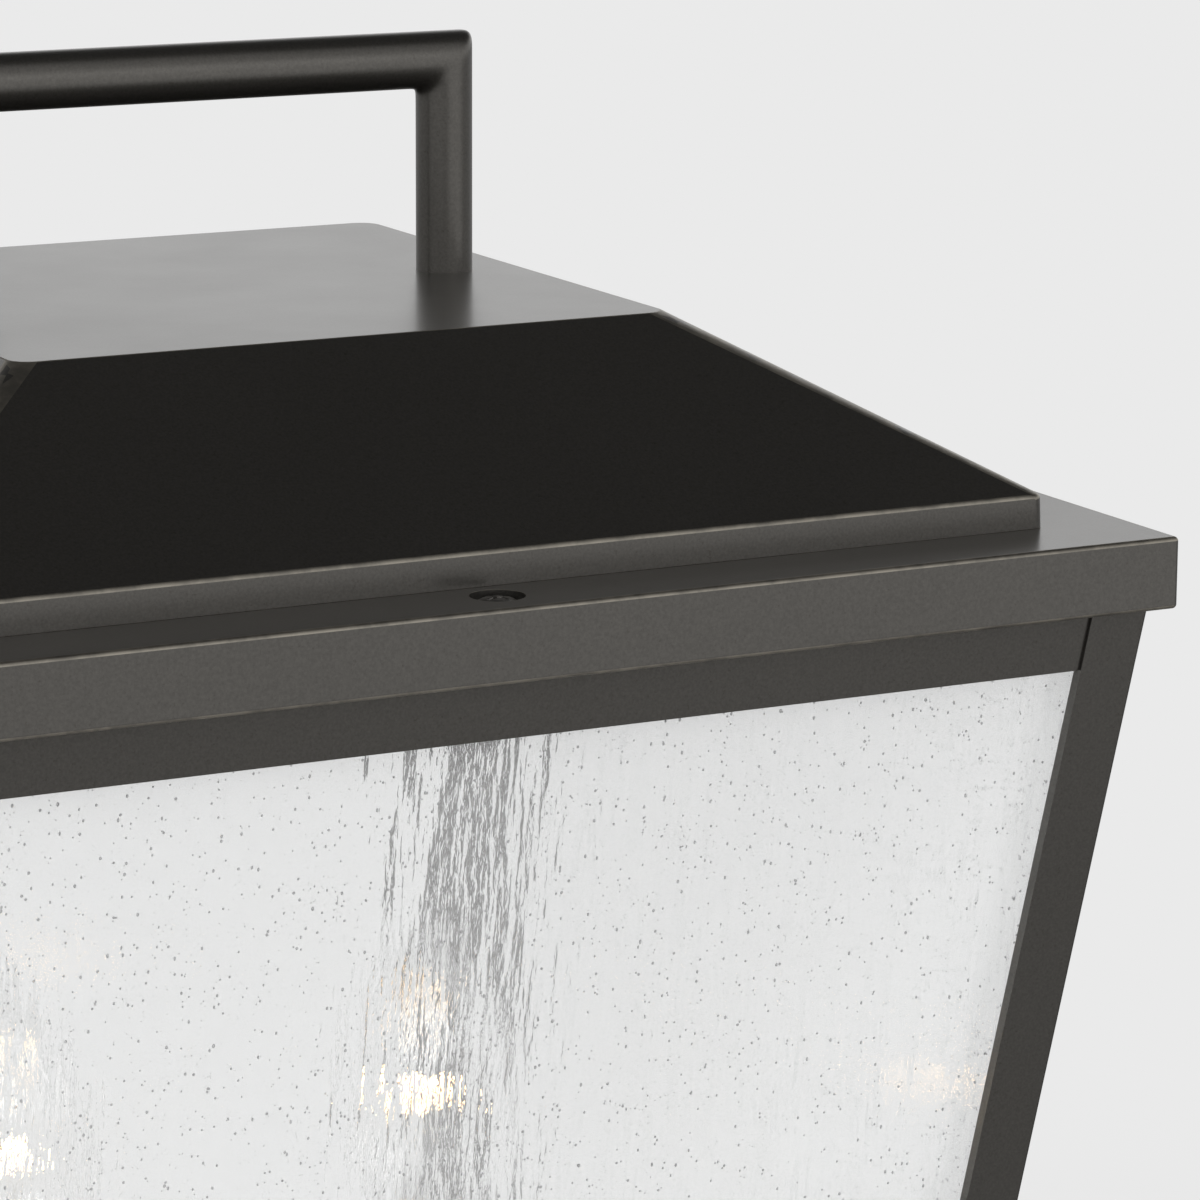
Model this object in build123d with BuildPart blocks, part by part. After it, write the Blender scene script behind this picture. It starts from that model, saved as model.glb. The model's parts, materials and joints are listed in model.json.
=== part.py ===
from build123d import *
import os
from math import cos, hypot, radians, sin, tan

# Post top lantern: a square, tapered glass cage on a round post fitter, under
# a hipped roof with a rod handle.  Millimetres, +Z up, the front faces -Y.
# The origin is the centre of the fitter's open mouth.

os.makedirs("parts", exist_ok=True)

# ---------------------------------------------------------------- post fitter
bore_radius = 39.0  # slips over a 76.2 mm round post
fitter_wall = 3.0
fitter_depth = 70.0  # straight bore, from the mouth to the post stop
stop_width = 3.0  # shoulder that the top of the post meets
chamber_height = 12.0  # room above the stop for the stem's nut
fitter_lid = 3.0
bead_height = 7.0  # rolled bead round the mouth
bead_proud = 1.6

# ---------------------------------------------------------------- set screws
set_screw_angles = {"front": -90.0, "right": 30.0, "left": 150.0}
set_screw_height = 24.0  # axis above the mouth
set_screw_radius = 3.0
set_screw_play = 0.05
set_screw_setback = 0.5  # tip behind the bore wall when backed off
set_screw_reach = 6.5  # collar to boss when backed off
boss_radius = 7.0
boss_proud = 3.5
thumb_radius = 7.0
thumb_height = 5.0
thumb_collar_radius = 4.6
thumb_collar_height = 2.0
thumb_slot_width = 1.4
thumb_slot_depth = 1.6

# ---------------------------------------------------------------- neck
neck_height = 26.0
neck_radius = 62.0  # at the top, under the tray
neck_rim = 5.0  # upright edge at the top
neck_step = 3.0  # foot ring, wider than the fitter
neck_foot = 4.0

# ---------------------------------------------------------------- base tray
tray_overhang = 5.0  # beyond the foot of the cage
tray_height = 12.0
tray_plate = 2.5
tray_wall = 2.0
tray_edge = 1.0

# ---------------------------------------------------------------- cage
cage_height = 318.5
lean_angle = 7.5  # inward lean of the four sides
metal = 2.5  # wall of the posts and rails
post_face = 13.9
post_edge = 0.8
seam = 0.3  # between the ends of neighbouring rails
rail_show = 12.7  # top rail seen below the ring
rail_flange = 22.0
flange_metal = 2.5
bottom_rail_height = 14.0
channel_lip = 1.5
channel_lip_height = 8.0

# ---------------------------------------------------------------- glazing
glass_thickness = 3.0
glass_gap = 0.3  # between the glass and the metal
glass_edge_gap = 1.0  # between neighbouring panes
glass_head_gap = 6.0  # room for the cap screws above the glass
clip_spacing = 150.0  # between the two clips of a pane
clip_width = 12.0
clip_metal = 1.0
clip_foot = 12.0
clip_leg = 14.0
clip_screw_radius = 1.5
clip_head_radius = 2.9
clip_head_height = 1.8
clip_screw_play = 0.1

# ---------------------------------------------------------------- cap ring
ring_width = 309.0
ring_height = 15.5
ring_wall = 2.0
ring_plate = 3.0
ring_edge = 1.0
ring_lap = 8.0  # reach of the ring under the hem
nest_gap = 0.8  # cage inside the ring

# ---------------------------------------------------------------- cap screws
cap_screw_setback = 11.9  # axis behind the ring's face
cap_screw_radius = 2.0
cap_screw_play = 0.1
cap_head_radius = 4.2
cap_head_height = 1.5
cap_head_dome = 0.6
cap_recess_radius = 5.65
cap_recess_depth = 1.8
cap_screw_tail = 3.0  # below the rail's flange

# ---------------------------------------------------------------- roof
plate_width = 150.0
plate_corner = 5.0
hem_setback = 20.5  # hem behind the ring's face
hem_corner = 2.5
hem_height = 7.0
roof_rise = 35.0
roof_metal = 1.5
ridge_round = 1.0
hem_round = 1.2

# ---------------------------------------------------------------- handle
rod_radius = 6.35
handle_span = 116.0  # between the axes of the legs
bar_height = 47.5  # axis of the bar above the roof
stud_radius = 3.0
stud_length = 9.0  # below the roof plate
stud_play = 0.2
handle_nut_width = 10.0
handle_nut_height = 5.0
handle_washer_radius = 7.5
handle_washer_thickness = 1.2

# ---------------------------------------------------------------- stem
stem_radius = 5.0
stem_bore = 3.4
stem_play = 0.2
stem_tail = 8.0  # below the fitter's lid
stem_nut_width = 16.0
stem_nut_height = 4.0
stem_washer_radius = 12.0
stem_washer_thickness = 1.5
column_radius = 7.5
finial_radius = 8.0
finial_height = 16.0
cup_radius = 17.0
cup_height = 9.0
cup_metal = 1.2

# ---------------------------------------------------------------- lamps
lamp_spacing = 104.0
filament_drop = 134.0  # below the lower edge of the ring
filament_height = 52.0  # above the foot of the bulb
bulb_radius = 17.0
bulb_length = 98.0
bulb_wall = 0.8
bulb_neck_radius = 6.0
bulb_base_radius = 6.0
bulb_base_height = 19.0
contact_radius = 2.6
contact_height = 2.0
mount_radius = 2.2
mount_flare = 4.6
mount_height = 20.0
wire_radius = 0.4
arch_width = 9.0

# ---------------------------------------------------------------- candles
socket_radius = 9.0
socket_depth = 18.0
socket_floor = 28.0
socket_play = 0.25
socket_stub_radius = 4.8
socket_stub_length = 11.0
socket_nut_width = 13.0
socket_nut_height = 3.5
sleeve_radius = 11.0
sleeve_wall = 1.2
sleeve_gap = 1.0  # below the glass of the bulb
drip_radius = 19.0
drip_height = 6.0
drip_metal = 1.2
bar_width = 22.0
bar_metal = 2.5
bar_stub_play = 0.2

# ---------------------------------------------------------------- levels
fitter_radius = bore_radius + fitter_wall
fitter_height = fitter_depth + chamber_height + fitter_lid
neck_top = fitter_height + neck_height
cage_foot = neck_top + tray_plate
cage_top = cage_foot + cage_height
eave = cage_top + ring_plate
ring_foot = eave - ring_height
slope_foot = eave + hem_height
roof_top = slope_foot + roof_rise
bar_level = roof_top + bar_height

cage_top_half = ring_width / 2 - ring_wall - nest_gap
lean = tan(radians(lean_angle))
metal_run = metal / cos(radians(lean_angle))
glass_run = glass_thickness / cos(radians(lean_angle))
lip_run = channel_lip / cos(radians(lean_angle))
cap_screw_line = ring_width / 2 - cap_screw_setback
hem_width = ring_width - 2 * hem_setback


def half_width(level):
    """Half the outer width of the cage at a height."""
    return cage_top_half - (cage_top - level) * lean


# Each side of the cage is drawn as the front and turned about Z.
side_turns = {"front": 0, "right": 90, "rear": 180, "left": 270}
corner_turns = {
    "front_right": 0,
    "rear_right": 90,
    "rear_left": 180,
    "front_left": 270,
}


def level_plane(level, turn=0):
    """Horizontal plane at a height, turned about Z."""
    return Plane.XY.offset(level).rotated((0, 0, turn))


def slab_sections(foot, head, turn, inset, thickness, end_gap):
    """Foot and head of a slab that leans with the cage's side."""
    sections = []
    for level in (foot, head):
        reach = half_width(level)
        with BuildSketch(level_plane(level, turn)) as section:
            with Locations((0, inset + thickness / 2 - reach)):
                Rectangle(2 * (reach - end_gap), thickness)
        sections.append(section.sketch)
    return sections


# ================================================================ post fitter
# A cup, mouth down, with a stop for the post and three bosses for the screws.
chamber_radius = bore_radius - stop_width
boss_face = fitter_radius + boss_proud


def radial_plane(angle, reach=0.0):
    """Plane square to a radius at the set screws' height."""
    outward = (cos(radians(angle)), sin(radians(angle)), 0)
    return Plane(origin=(0, 0, set_screw_height), x_dir=(0, 0, 1), z_dir=outward).offset(reach)


with BuildPart() as post_fitter:
    with BuildSketch(Plane.XY):
        Circle(fitter_radius)
    extrude(amount=fitter_height)
    with BuildSketch(Plane.XY):
        Circle(fitter_radius + bead_proud)
    extrude(amount=bead_height)
    bead_edges = post_fitter.edges().filter_by(GeomType.CIRCLE)
    fillet(
        bead_edges.filter_by(lambda edge: edge.radius > fitter_radius + bead_proud / 2),
        radius=bead_proud * 0.9,
    )
    fillet(post_fitter.edges().filter_by(GeomType.CIRCLE).sort_by(Axis.Z)[-1], radius=fitter_wall / 2)
    for angle in set_screw_angles.values():
        with BuildSketch(radial_plane(angle, bore_radius)):
            Circle(boss_radius)
        extrude(amount=boss_face - bore_radius)
    with BuildSketch(Plane.XY):
        Circle(bore_radius)
    extrude(amount=fitter_depth, mode=Mode.SUBTRACT)
    with BuildSketch(Plane.XY.offset(fitter_depth)):
        Circle(chamber_radius)
    extrude(amount=chamber_height, mode=Mode.SUBTRACT)
    with BuildSketch(Plane.XY.offset(fitter_height - fitter_lid)):
        Circle(stem_radius + stem_play)
    extrude(amount=fitter_lid, mode=Mode.SUBTRACT)
    for angle in set_screw_angles.values():
        with BuildSketch(radial_plane(angle)):
            Circle(set_screw_radius + set_screw_play)
        extrude(amount=boss_face + boss_proud, mode=Mode.SUBTRACT)
post_fitter.part.label = "post_fitter"
export_step(post_fitter.part, "parts/post_fitter.step")

# ================================================================ set screws
# Thumb screws that clamp the post, shown backed off from the bore.
for side, angle in set_screw_angles.items():
    tip = bore_radius + set_screw_setback
    collar = boss_face + set_screw_reach
    thumb = collar + thumb_collar_height
    with BuildPart() as set_screw:
        with BuildSketch(radial_plane(angle, tip)):
            Circle(set_screw_radius)
        extrude(amount=collar - tip)
        with BuildSketch(radial_plane(angle, collar)):
            Circle(thumb_collar_radius)
        extrude(amount=thumb_collar_height)
        with BuildSketch(radial_plane(angle, thumb)):
            RegularPolygon(thumb_radius, 12)
        extrude(amount=thumb_height)
        with BuildSketch(radial_plane(angle, thumb + thumb_height)):
            Rectangle(thumb_slot_width, 2 * thumb_radius)
        extrude(amount=-thumb_slot_depth, mode=Mode.SUBTRACT)
    set_screw.part.label = f"set_screw_{side}"
    export_step(set_screw.part, f"parts/set_screw_{side}.step")

# ================================================================ neck
# Cast collar that flares from the fitter to the underside of the tray.
neck_foot_radius = fitter_radius + neck_step
with BuildPart() as neck:
    with BuildSketch(Plane.XZ):
        with BuildLine():
            Polyline(
                (stem_radius + stem_play, neck_top),
                (stem_radius + stem_play, fitter_height),
                (neck_foot_radius, fitter_height),
                (neck_foot_radius, fitter_height + neck_foot),
                (fitter_radius, fitter_height + neck_foot),
            )
            RadiusArc(
                (fitter_radius, fitter_height + neck_foot),
                (neck_radius, neck_top - neck_rim),
                1.05 * hypot(neck_radius - fitter_radius, neck_height - neck_foot - neck_rim),
            )
            Polyline(
                (neck_radius, neck_top - neck_rim),
                (neck_radius, neck_top),
                (stem_radius + stem_play, neck_top),
            )
        make_face()
    revolve(axis=Axis.Z)
neck.part.label = "neck"
export_step(neck.part, "parts/neck.step")

# ================================================================ base tray
# Square pan under the cage, with a turned-down edge.
tray_width = 2 * (half_width(cage_foot) + tray_overhang)
with BuildPart() as base_tray:
    with BuildSketch(Plane.XY.offset(cage_foot)):
        Rectangle(tray_width, tray_width)
    extrude(amount=-tray_height)
    fillet(base_tray.edges(), radius=tray_edge)
    with BuildSketch(Plane.XY.offset(cage_foot - tray_height)):
        Rectangle(tray_width - 2 * tray_wall, tray_width - 2 * tray_wall)
    extrude(amount=tray_height - tray_plate, mode=Mode.SUBTRACT)
    with Locations(Plane.XY.offset(cage_foot)):
        Hole(radius=stem_radius + stem_play)
base_tray.part.label = "base_tray"
export_step(base_tray.part, "parts/base_tray.step")

# ================================================================ corner posts
# Angle section that leans inward along both of its faces.
for corner, turn in corner_turns.items():
    with BuildPart() as corner_post:
        for level in (cage_foot, cage_top):
            reach = half_width(level)
            with BuildSketch(level_plane(level, turn)):
                with BuildLine():
                    Polyline(
                        (reach, -reach),
                        (reach, post_face - reach),
                        (reach - metal_run, post_face - reach),
                        (reach - metal_run, metal_run - reach),
                        (reach - post_face, metal_run - reach),
                        (reach - post_face, -reach),
                        close=True,
                    )
                make_face()
        loft(ruled=True)
        upright = corner_post.edges().filter_by(lambda edge: edge.length > cage_height / 2)
        outer_edge = upright.sort_by_distance((0, 0, (cage_foot + cage_top) / 2))[-1]
        fillet(outer_edge, radius=post_edge)
    corner_post.part.label = f"corner_post_{corner}"
    export_step(corner_post.part, f"parts/corner_post_{corner}.step")

# ================================================================ top rails
# Angle between two posts; its flange carries the ring and takes a cap screw.
# Its face lies behind the posts, so the edge of each post stands proud of it.
rail_foot = ring_foot - rail_show
rail_inset = metal_run
rail_end = rail_inset + metal_run + seam
flange_inset = rail_inset + metal_run / 2
glass_inset = rail_inset + metal_run + glass_gap
behind_glass = glass_inset + glass_run + glass_gap
clip_line = cage_top_half - behind_glass - clip_foot / 2
for side, turn in side_turns.items():
    with BuildPart() as top_rail:
        loft(slab_sections(rail_foot, cage_top, turn, rail_inset, metal_run, rail_end), ruled=True)
        with BuildSketch(level_plane(cage_top, turn)):
            with Locations((0, (rail_flange + flange_inset) / 2 - cage_top_half)):
                Rectangle(
                    2 * (cage_top_half - rail_flange - seam),
                    rail_flange - flange_inset,
                )
        extrude(amount=-flange_metal)
        with Locations(level_plane(cage_top, turn)):
            with Locations((0, -cap_screw_line)):
                Hole(radius=cap_screw_radius + cap_screw_play, depth=flange_metal)
            with Locations((-clip_spacing / 2, -clip_line), (clip_spacing / 2, -clip_line)):
                Hole(radius=clip_screw_radius + clip_screw_play, depth=flange_metal)
    top_rail.part.label = f"top_rail_{side}"
    export_step(top_rail.part, f"parts/top_rail_{side}.step")

# ================================================================ bottom rails
# Channel that the lower edge of the glass stands in.
lip_inset = behind_glass
channel_end = lip_inset + lip_run + seam
channel_width = lip_inset + lip_run - flange_inset
rail_head = cage_foot + bottom_rail_height
glass_foot = cage_foot + flange_metal
lip_head = glass_foot + channel_lip_height
for side, turn in side_turns.items():
    with BuildPart() as bottom_rail:
        loft(slab_sections(cage_foot, rail_head, turn, rail_inset, metal_run, rail_end), ruled=True)
        with BuildSketch(level_plane(cage_foot, turn)):
            with Locations((0, flange_inset + channel_width / 2 - half_width(cage_foot))):
                Rectangle(2 * (half_width(cage_foot) - channel_end), channel_width)
        extrude(amount=flange_metal)
        loft(slab_sections(cage_foot, lip_head, turn, lip_inset, lip_run, channel_end), ruled=True)
    bottom_rail.part.label = f"bottom_rail_{side}"
    export_step(bottom_rail.part, f"parts/bottom_rail_{side}.step")

# ================================================================ glass
glass_head = cage_top - flange_metal - glass_head_gap
glass_end = glass_inset + glass_run + glass_edge_gap
for side, turn in side_turns.items():
    with BuildPart() as glass:
        loft(slab_sections(glass_foot, glass_head, turn, glass_inset, glass_run, glass_end), ruled=True)
    glass.part.label = f"glass_{side}"
    export_step(glass.part, f"parts/glass_{side}.step")

# ================================================================ glass clips
# Bent tabs under the top rails that keep the panes against the posts.
clip_head = cage_top - flange_metal
clip_run = clip_metal / cos(radians(lean_angle))
with BuildPart() as glass_clips:
    for turn in side_turns.values():
        for along in (-clip_spacing / 2, clip_spacing / 2):
            for level in (clip_head - clip_leg, clip_head):
                with BuildSketch(level_plane(level, turn)):
                    with Locations((along, behind_glass + clip_run / 2 - half_width(level))):
                        Rectangle(clip_width, clip_run)
            loft(ruled=True)
            with BuildSketch(level_plane(clip_head, turn)):
                with Locations((along, behind_glass + clip_foot / 2 - half_width(clip_head))):
                    Rectangle(clip_width, clip_foot)
            extrude(amount=-clip_metal)
            with BuildSketch(level_plane(clip_head, turn)):
                with Locations((along, -clip_line)):
                    Circle(clip_screw_radius + clip_screw_play)
            extrude(amount=-clip_metal, mode=Mode.SUBTRACT)
glass_clips.part.label = "glass_clips"
export_step(glass_clips.part, "parts/glass_clips.step")

with BuildPart() as clip_screws:
    for turn in side_turns.values():
        for along in (-clip_spacing / 2, clip_spacing / 2):
            with BuildSketch(level_plane(clip_head - clip_metal, turn)):
                with Locations((along, -clip_line)):
                    Circle(clip_head_radius)
            extrude(amount=-clip_head_height)
            with BuildSketch(level_plane(clip_head - clip_metal, turn)):
                with Locations((along, -clip_line)):
                    Circle(clip_screw_radius)
            extrude(amount=clip_metal + flange_metal)
clip_screws.part.label = "clip_screws"
export_step(clip_screws.part, "parts/clip_screws.step")

# ================================================================ cap ring
# Square ring over the head of the cage; the roof stands on its plate.
with BuildPart() as cap_ring:
    with BuildSketch(Plane.XY.offset(ring_foot)):
        Rectangle(ring_width, ring_width)
    extrude(amount=ring_height)
    fillet(cap_ring.edges(), radius=ring_edge)
    with BuildSketch(Plane.XY.offset(ring_foot)):
        Rectangle(ring_width - 2 * ring_wall, ring_width - 2 * ring_wall)
    extrude(amount=ring_height - ring_plate, mode=Mode.SUBTRACT)
    with BuildSketch(Plane.XY.offset(cage_top)):
        Rectangle(hem_width - 2 * ring_lap, hem_width - 2 * ring_lap)
    extrude(amount=ring_plate, mode=Mode.SUBTRACT)
    with Locations(Plane.XY.offset(eave)):
        with PolarLocations(cap_screw_line, 4):
            CounterBoreHole(
                radius=cap_screw_radius + cap_screw_play,
                counter_bore_radius=cap_recess_radius,
                counter_bore_depth=cap_recess_depth,
            )
cap_ring.part.label = "cap_ring"
export_step(cap_ring.part, "parts/cap_ring.step")

# ================================================================ cap screws
cap_seat = eave - cap_recess_depth
cap_screw_end = cage_top - flange_metal - cap_screw_tail
with BuildPart() as cap_screws:
    with Locations(Plane.XY.offset(cap_screw_end)):
        with PolarLocations(cap_screw_line, 4):
            Cylinder(
                cap_screw_radius,
                cap_seat - cap_screw_end,
                align=(Align.CENTER, Align.CENTER, Align.MIN),
            )
    with Locations(Plane.XY.offset(cap_seat)):
        with PolarLocations(cap_screw_line, 4):
            Cylinder(
                cap_head_radius,
                cap_head_height,
                align=(Align.CENTER, Align.CENTER, Align.MIN),
            )
    fillet(
        cap_screws.edges().filter_by(GeomType.CIRCLE).group_by(Axis.Z)[-1],
        radius=cap_head_dome,
    )
cap_screws.part.label = "cap_screws"
export_step(cap_screws.part, "parts/cap_screws.step")

# ================================================================ roof
# Hipped sheet-metal shell with a flat top and an upright hem.
slope_run = (hem_width - plate_width) / 2
slope_length = hypot(slope_run, roof_rise)
inner_plate = plate_width - 2 * roof_metal * (slope_length - slope_run) / roof_rise
inner_hem = hem_width - 2 * roof_metal
inner_slope_foot = slope_foot - roof_metal * (slope_length - roof_rise) / slope_run
with BuildPart() as roof_shell:
    with BuildSketch(Plane.XY.offset(slope_foot)):
        RectangleRounded(hem_width, hem_width, hem_corner)
    with BuildSketch(Plane.XY.offset(roof_top)):
        RectangleRounded(plate_width, plate_width, plate_corner)
    loft(ruled=True)
    fillet(roof_shell.faces().sort_by(Axis.Z)[-1].edges(), radius=ridge_round)
    with BuildSketch(Plane.XY.offset(eave)):
        RectangleRounded(hem_width, hem_width, hem_corner)
    extrude(amount=hem_height)
    hem_line = roof_shell.edges().filter_by_position(
        Axis.Z, slope_foot, slope_foot
    )
    fillet(hem_line, radius=hem_round)
    with BuildSketch(Plane.XY.offset(inner_slope_foot)):
        RectangleRounded(inner_hem, inner_hem, hem_corner - roof_metal)
    with BuildSketch(Plane.XY.offset(roof_top - roof_metal)):
        RectangleRounded(inner_plate, inner_plate, plate_corner - roof_metal)
    loft(ruled=True, mode=Mode.SUBTRACT)
    with BuildSketch(Plane.XY.offset(eave)):
        RectangleRounded(inner_hem, inner_hem, hem_corner - roof_metal)
    extrude(amount=inner_slope_foot - eave, mode=Mode.SUBTRACT)
    with Locations(Plane.XY.offset(roof_top)):
        with Locations((-handle_span / 2, 0), (handle_span / 2, 0)):
            Hole(radius=stud_radius + stud_play, depth=2 * roof_metal)
roof_shell.part.label = "roof_shell"
export_step(roof_shell.part, "parts/roof_shell.step")

# ================================================================ handle
# Round rod with mitred corners; a stud under each leg goes through the roof.
with BuildPart() as handle:
    with BuildLine() as handle_line:
        Polyline(
            (-handle_span / 2, 0, roof_top),
            (-handle_span / 2, 0, bar_level),
            (handle_span / 2, 0, bar_level),
            (handle_span / 2, 0, roof_top),
        )
    with BuildSketch(Plane.XY.offset(roof_top)):
        with Locations((-handle_span / 2, 0)):
            Circle(rod_radius)
    sweep(transition=Transition.RIGHT)
    with BuildSketch(Plane.XY.offset(roof_top)):
        with Locations((-handle_span / 2, 0), (handle_span / 2, 0)):
            Circle(stud_radius)
    extrude(amount=-(roof_metal + stud_length))
handle.part.label = "handle"
export_step(handle.part, "parts/handle.step")

under_plate = roof_top - roof_metal
with BuildPart() as handle_washers:
    with BuildSketch(Plane.XY.offset(under_plate)):
        with Locations((-handle_span / 2, 0), (handle_span / 2, 0)):
            Circle(handle_washer_radius)
            Circle(stud_radius + stud_play, mode=Mode.SUBTRACT)
    extrude(amount=-handle_washer_thickness)
handle_washers.part.label = "handle_washers"
export_step(handle_washers.part, "parts/handle_washers.step")

with BuildPart() as handle_nuts:
    with BuildSketch(Plane.XY.offset(under_plate - handle_washer_thickness)):
        with Locations((-handle_span / 2, 0), (handle_span / 2, 0)):
            RegularPolygon(handle_nut_width / 2, 6, major_radius=False)
            Circle(stud_radius + stud_play, mode=Mode.SUBTRACT)
    extrude(amount=-handle_nut_height)
handle_nuts.part.label = "handle_nuts"
export_step(handle_nuts.part, "parts/handle_nuts.step")

# ================================================================ lamp levels
filament_level = ring_foot - filament_drop
bulb_foot = filament_level - filament_height
base_top = bulb_foot + bulb_base_height
bulb_top = bulb_foot + bulb_length
envelope_height = bulb_top - base_top
socket_seat = bulb_foot - contact_height
socket_foot = socket_seat - socket_floor
socket_head = socket_seat + socket_depth
bar_top = socket_foot - drip_metal
bar_foot = bar_top - bar_metal
lamps = {"left": -lamp_spacing / 2, "right": lamp_spacing / 2}

# ================================================================ stem
# Threaded tube that ties the fitter, neck, tray and lamp bar together.
stem_foot = fitter_height - fitter_lid - stem_tail
cup_foot = bar_top
cup_top = cup_foot + cup_height
stem_head = cup_top + finial_height / 2
with BuildPart() as stem:
    with BuildSketch(Plane.XY.offset(stem_foot)):
        Circle(stem_radius)
        Circle(stem_bore, mode=Mode.SUBTRACT)
    extrude(amount=stem_head - stem_foot)
stem.part.label = "stem"
export_step(stem.part, "parts/stem.step")

lid_under = fitter_height - fitter_lid
with BuildPart() as stem_washer:
    with BuildSketch(Plane.XY.offset(lid_under)):
        Circle(stem_washer_radius)
        Circle(stem_radius + stem_play, mode=Mode.SUBTRACT)
    extrude(amount=-stem_washer_thickness)
stem_washer.part.label = "stem_washer"
export_step(stem_washer.part, "parts/stem_washer.step")

with BuildPart() as stem_nut:
    with BuildSketch(Plane.XY.offset(lid_under - stem_washer_thickness)):
        RegularPolygon(stem_nut_width / 2, 6, major_radius=False)
        Circle(stem_radius + stem_play, mode=Mode.SUBTRACT)
    extrude(amount=-stem_nut_height)
stem_nut.part.label = "stem_nut"
export_step(stem_nut.part, "parts/stem_nut.step")

with BuildPart() as column:
    with BuildSketch(Plane.XY.offset(cage_foot)):
        Circle(column_radius)
        Circle(stem_radius + stem_play, mode=Mode.SUBTRACT)
    extrude(amount=bar_foot - cage_foot)
column.part.label = "column"
export_step(column.part, "parts/column.step")

# Dished cover over the middle of the lamp bar, held by the finial.
with BuildPart() as cluster_cup:
    with BuildSketch(Plane.XZ):
        with BuildLine():
            Line((cup_radius, cup_foot), (cup_radius - cup_metal, cup_foot))
            Spline(
                (cup_radius - cup_metal, cup_foot),
                (stem_radius + stem_play, cup_top - cup_metal),
                tangents=((0, 1), (-1, 0)),
            )
            Line((stem_radius + stem_play, cup_top - cup_metal), (stem_radius + stem_play, cup_top))
            Spline(
                (stem_radius + stem_play, cup_top),
                (cup_radius, cup_foot),
                tangents=((1, 0), (0, -1)),
            )
        make_face()
    revolve(axis=Axis.Z)
cluster_cup.part.label = "cluster_cup"
export_step(cluster_cup.part, "parts/cluster_cup.step")

# Turned knob that screws down on the stem.
finial_waist = finial_radius * 0.6
with BuildPart() as finial:
    with BuildSketch(Plane.XZ):
        with BuildLine():
            Polyline(
                (0, stem_head),
                (stem_radius + stem_play, stem_head),
                (stem_radius + stem_play, cup_top),
                (finial_radius, cup_top),
                (finial_radius, cup_top + finial_height / 4),
            )
            Spline(
                (finial_radius, cup_top + finial_height / 4),
                (finial_waist, cup_top + finial_height * 0.8),
                (0, cup_top + finial_height),
                tangents=((0, 1), (-1, 0)),
            )
            Line((0, cup_top + finial_height), (0, stem_head))
        make_face()
    revolve(axis=Axis.Z)
finial.part.label = "finial"
export_step(finial.part, "parts/finial.step")

# ================================================================ lamp bar
with BuildPart() as lamp_bar:
    with BuildSketch(Plane.XY.offset(bar_foot)):
        SlotCenterToCenter(lamp_spacing, bar_width)
        Circle(stem_radius + stem_play, mode=Mode.SUBTRACT)
        with Locations((-lamp_spacing / 2, 0), (lamp_spacing / 2, 0)):
            Circle(socket_stub_radius + bar_stub_play, mode=Mode.SUBTRACT)
    extrude(amount=bar_metal)
lamp_bar.part.label = "lamp_bar"
export_step(lamp_bar.part, "parts/lamp_bar.step")

with BuildPart() as socket_nuts:
    with BuildSketch(Plane.XY.offset(bar_foot)):
        with Locations((-lamp_spacing / 2, 0), (lamp_spacing / 2, 0)):
            RegularPolygon(socket_nut_width / 2, 6, major_radius=False)
            Circle(socket_stub_radius + bar_stub_play, mode=Mode.SUBTRACT)
    extrude(amount=-socket_nut_height)
socket_nuts.part.label = "socket_nuts"
export_step(socket_nuts.part, "parts/socket_nuts.step")

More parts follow.
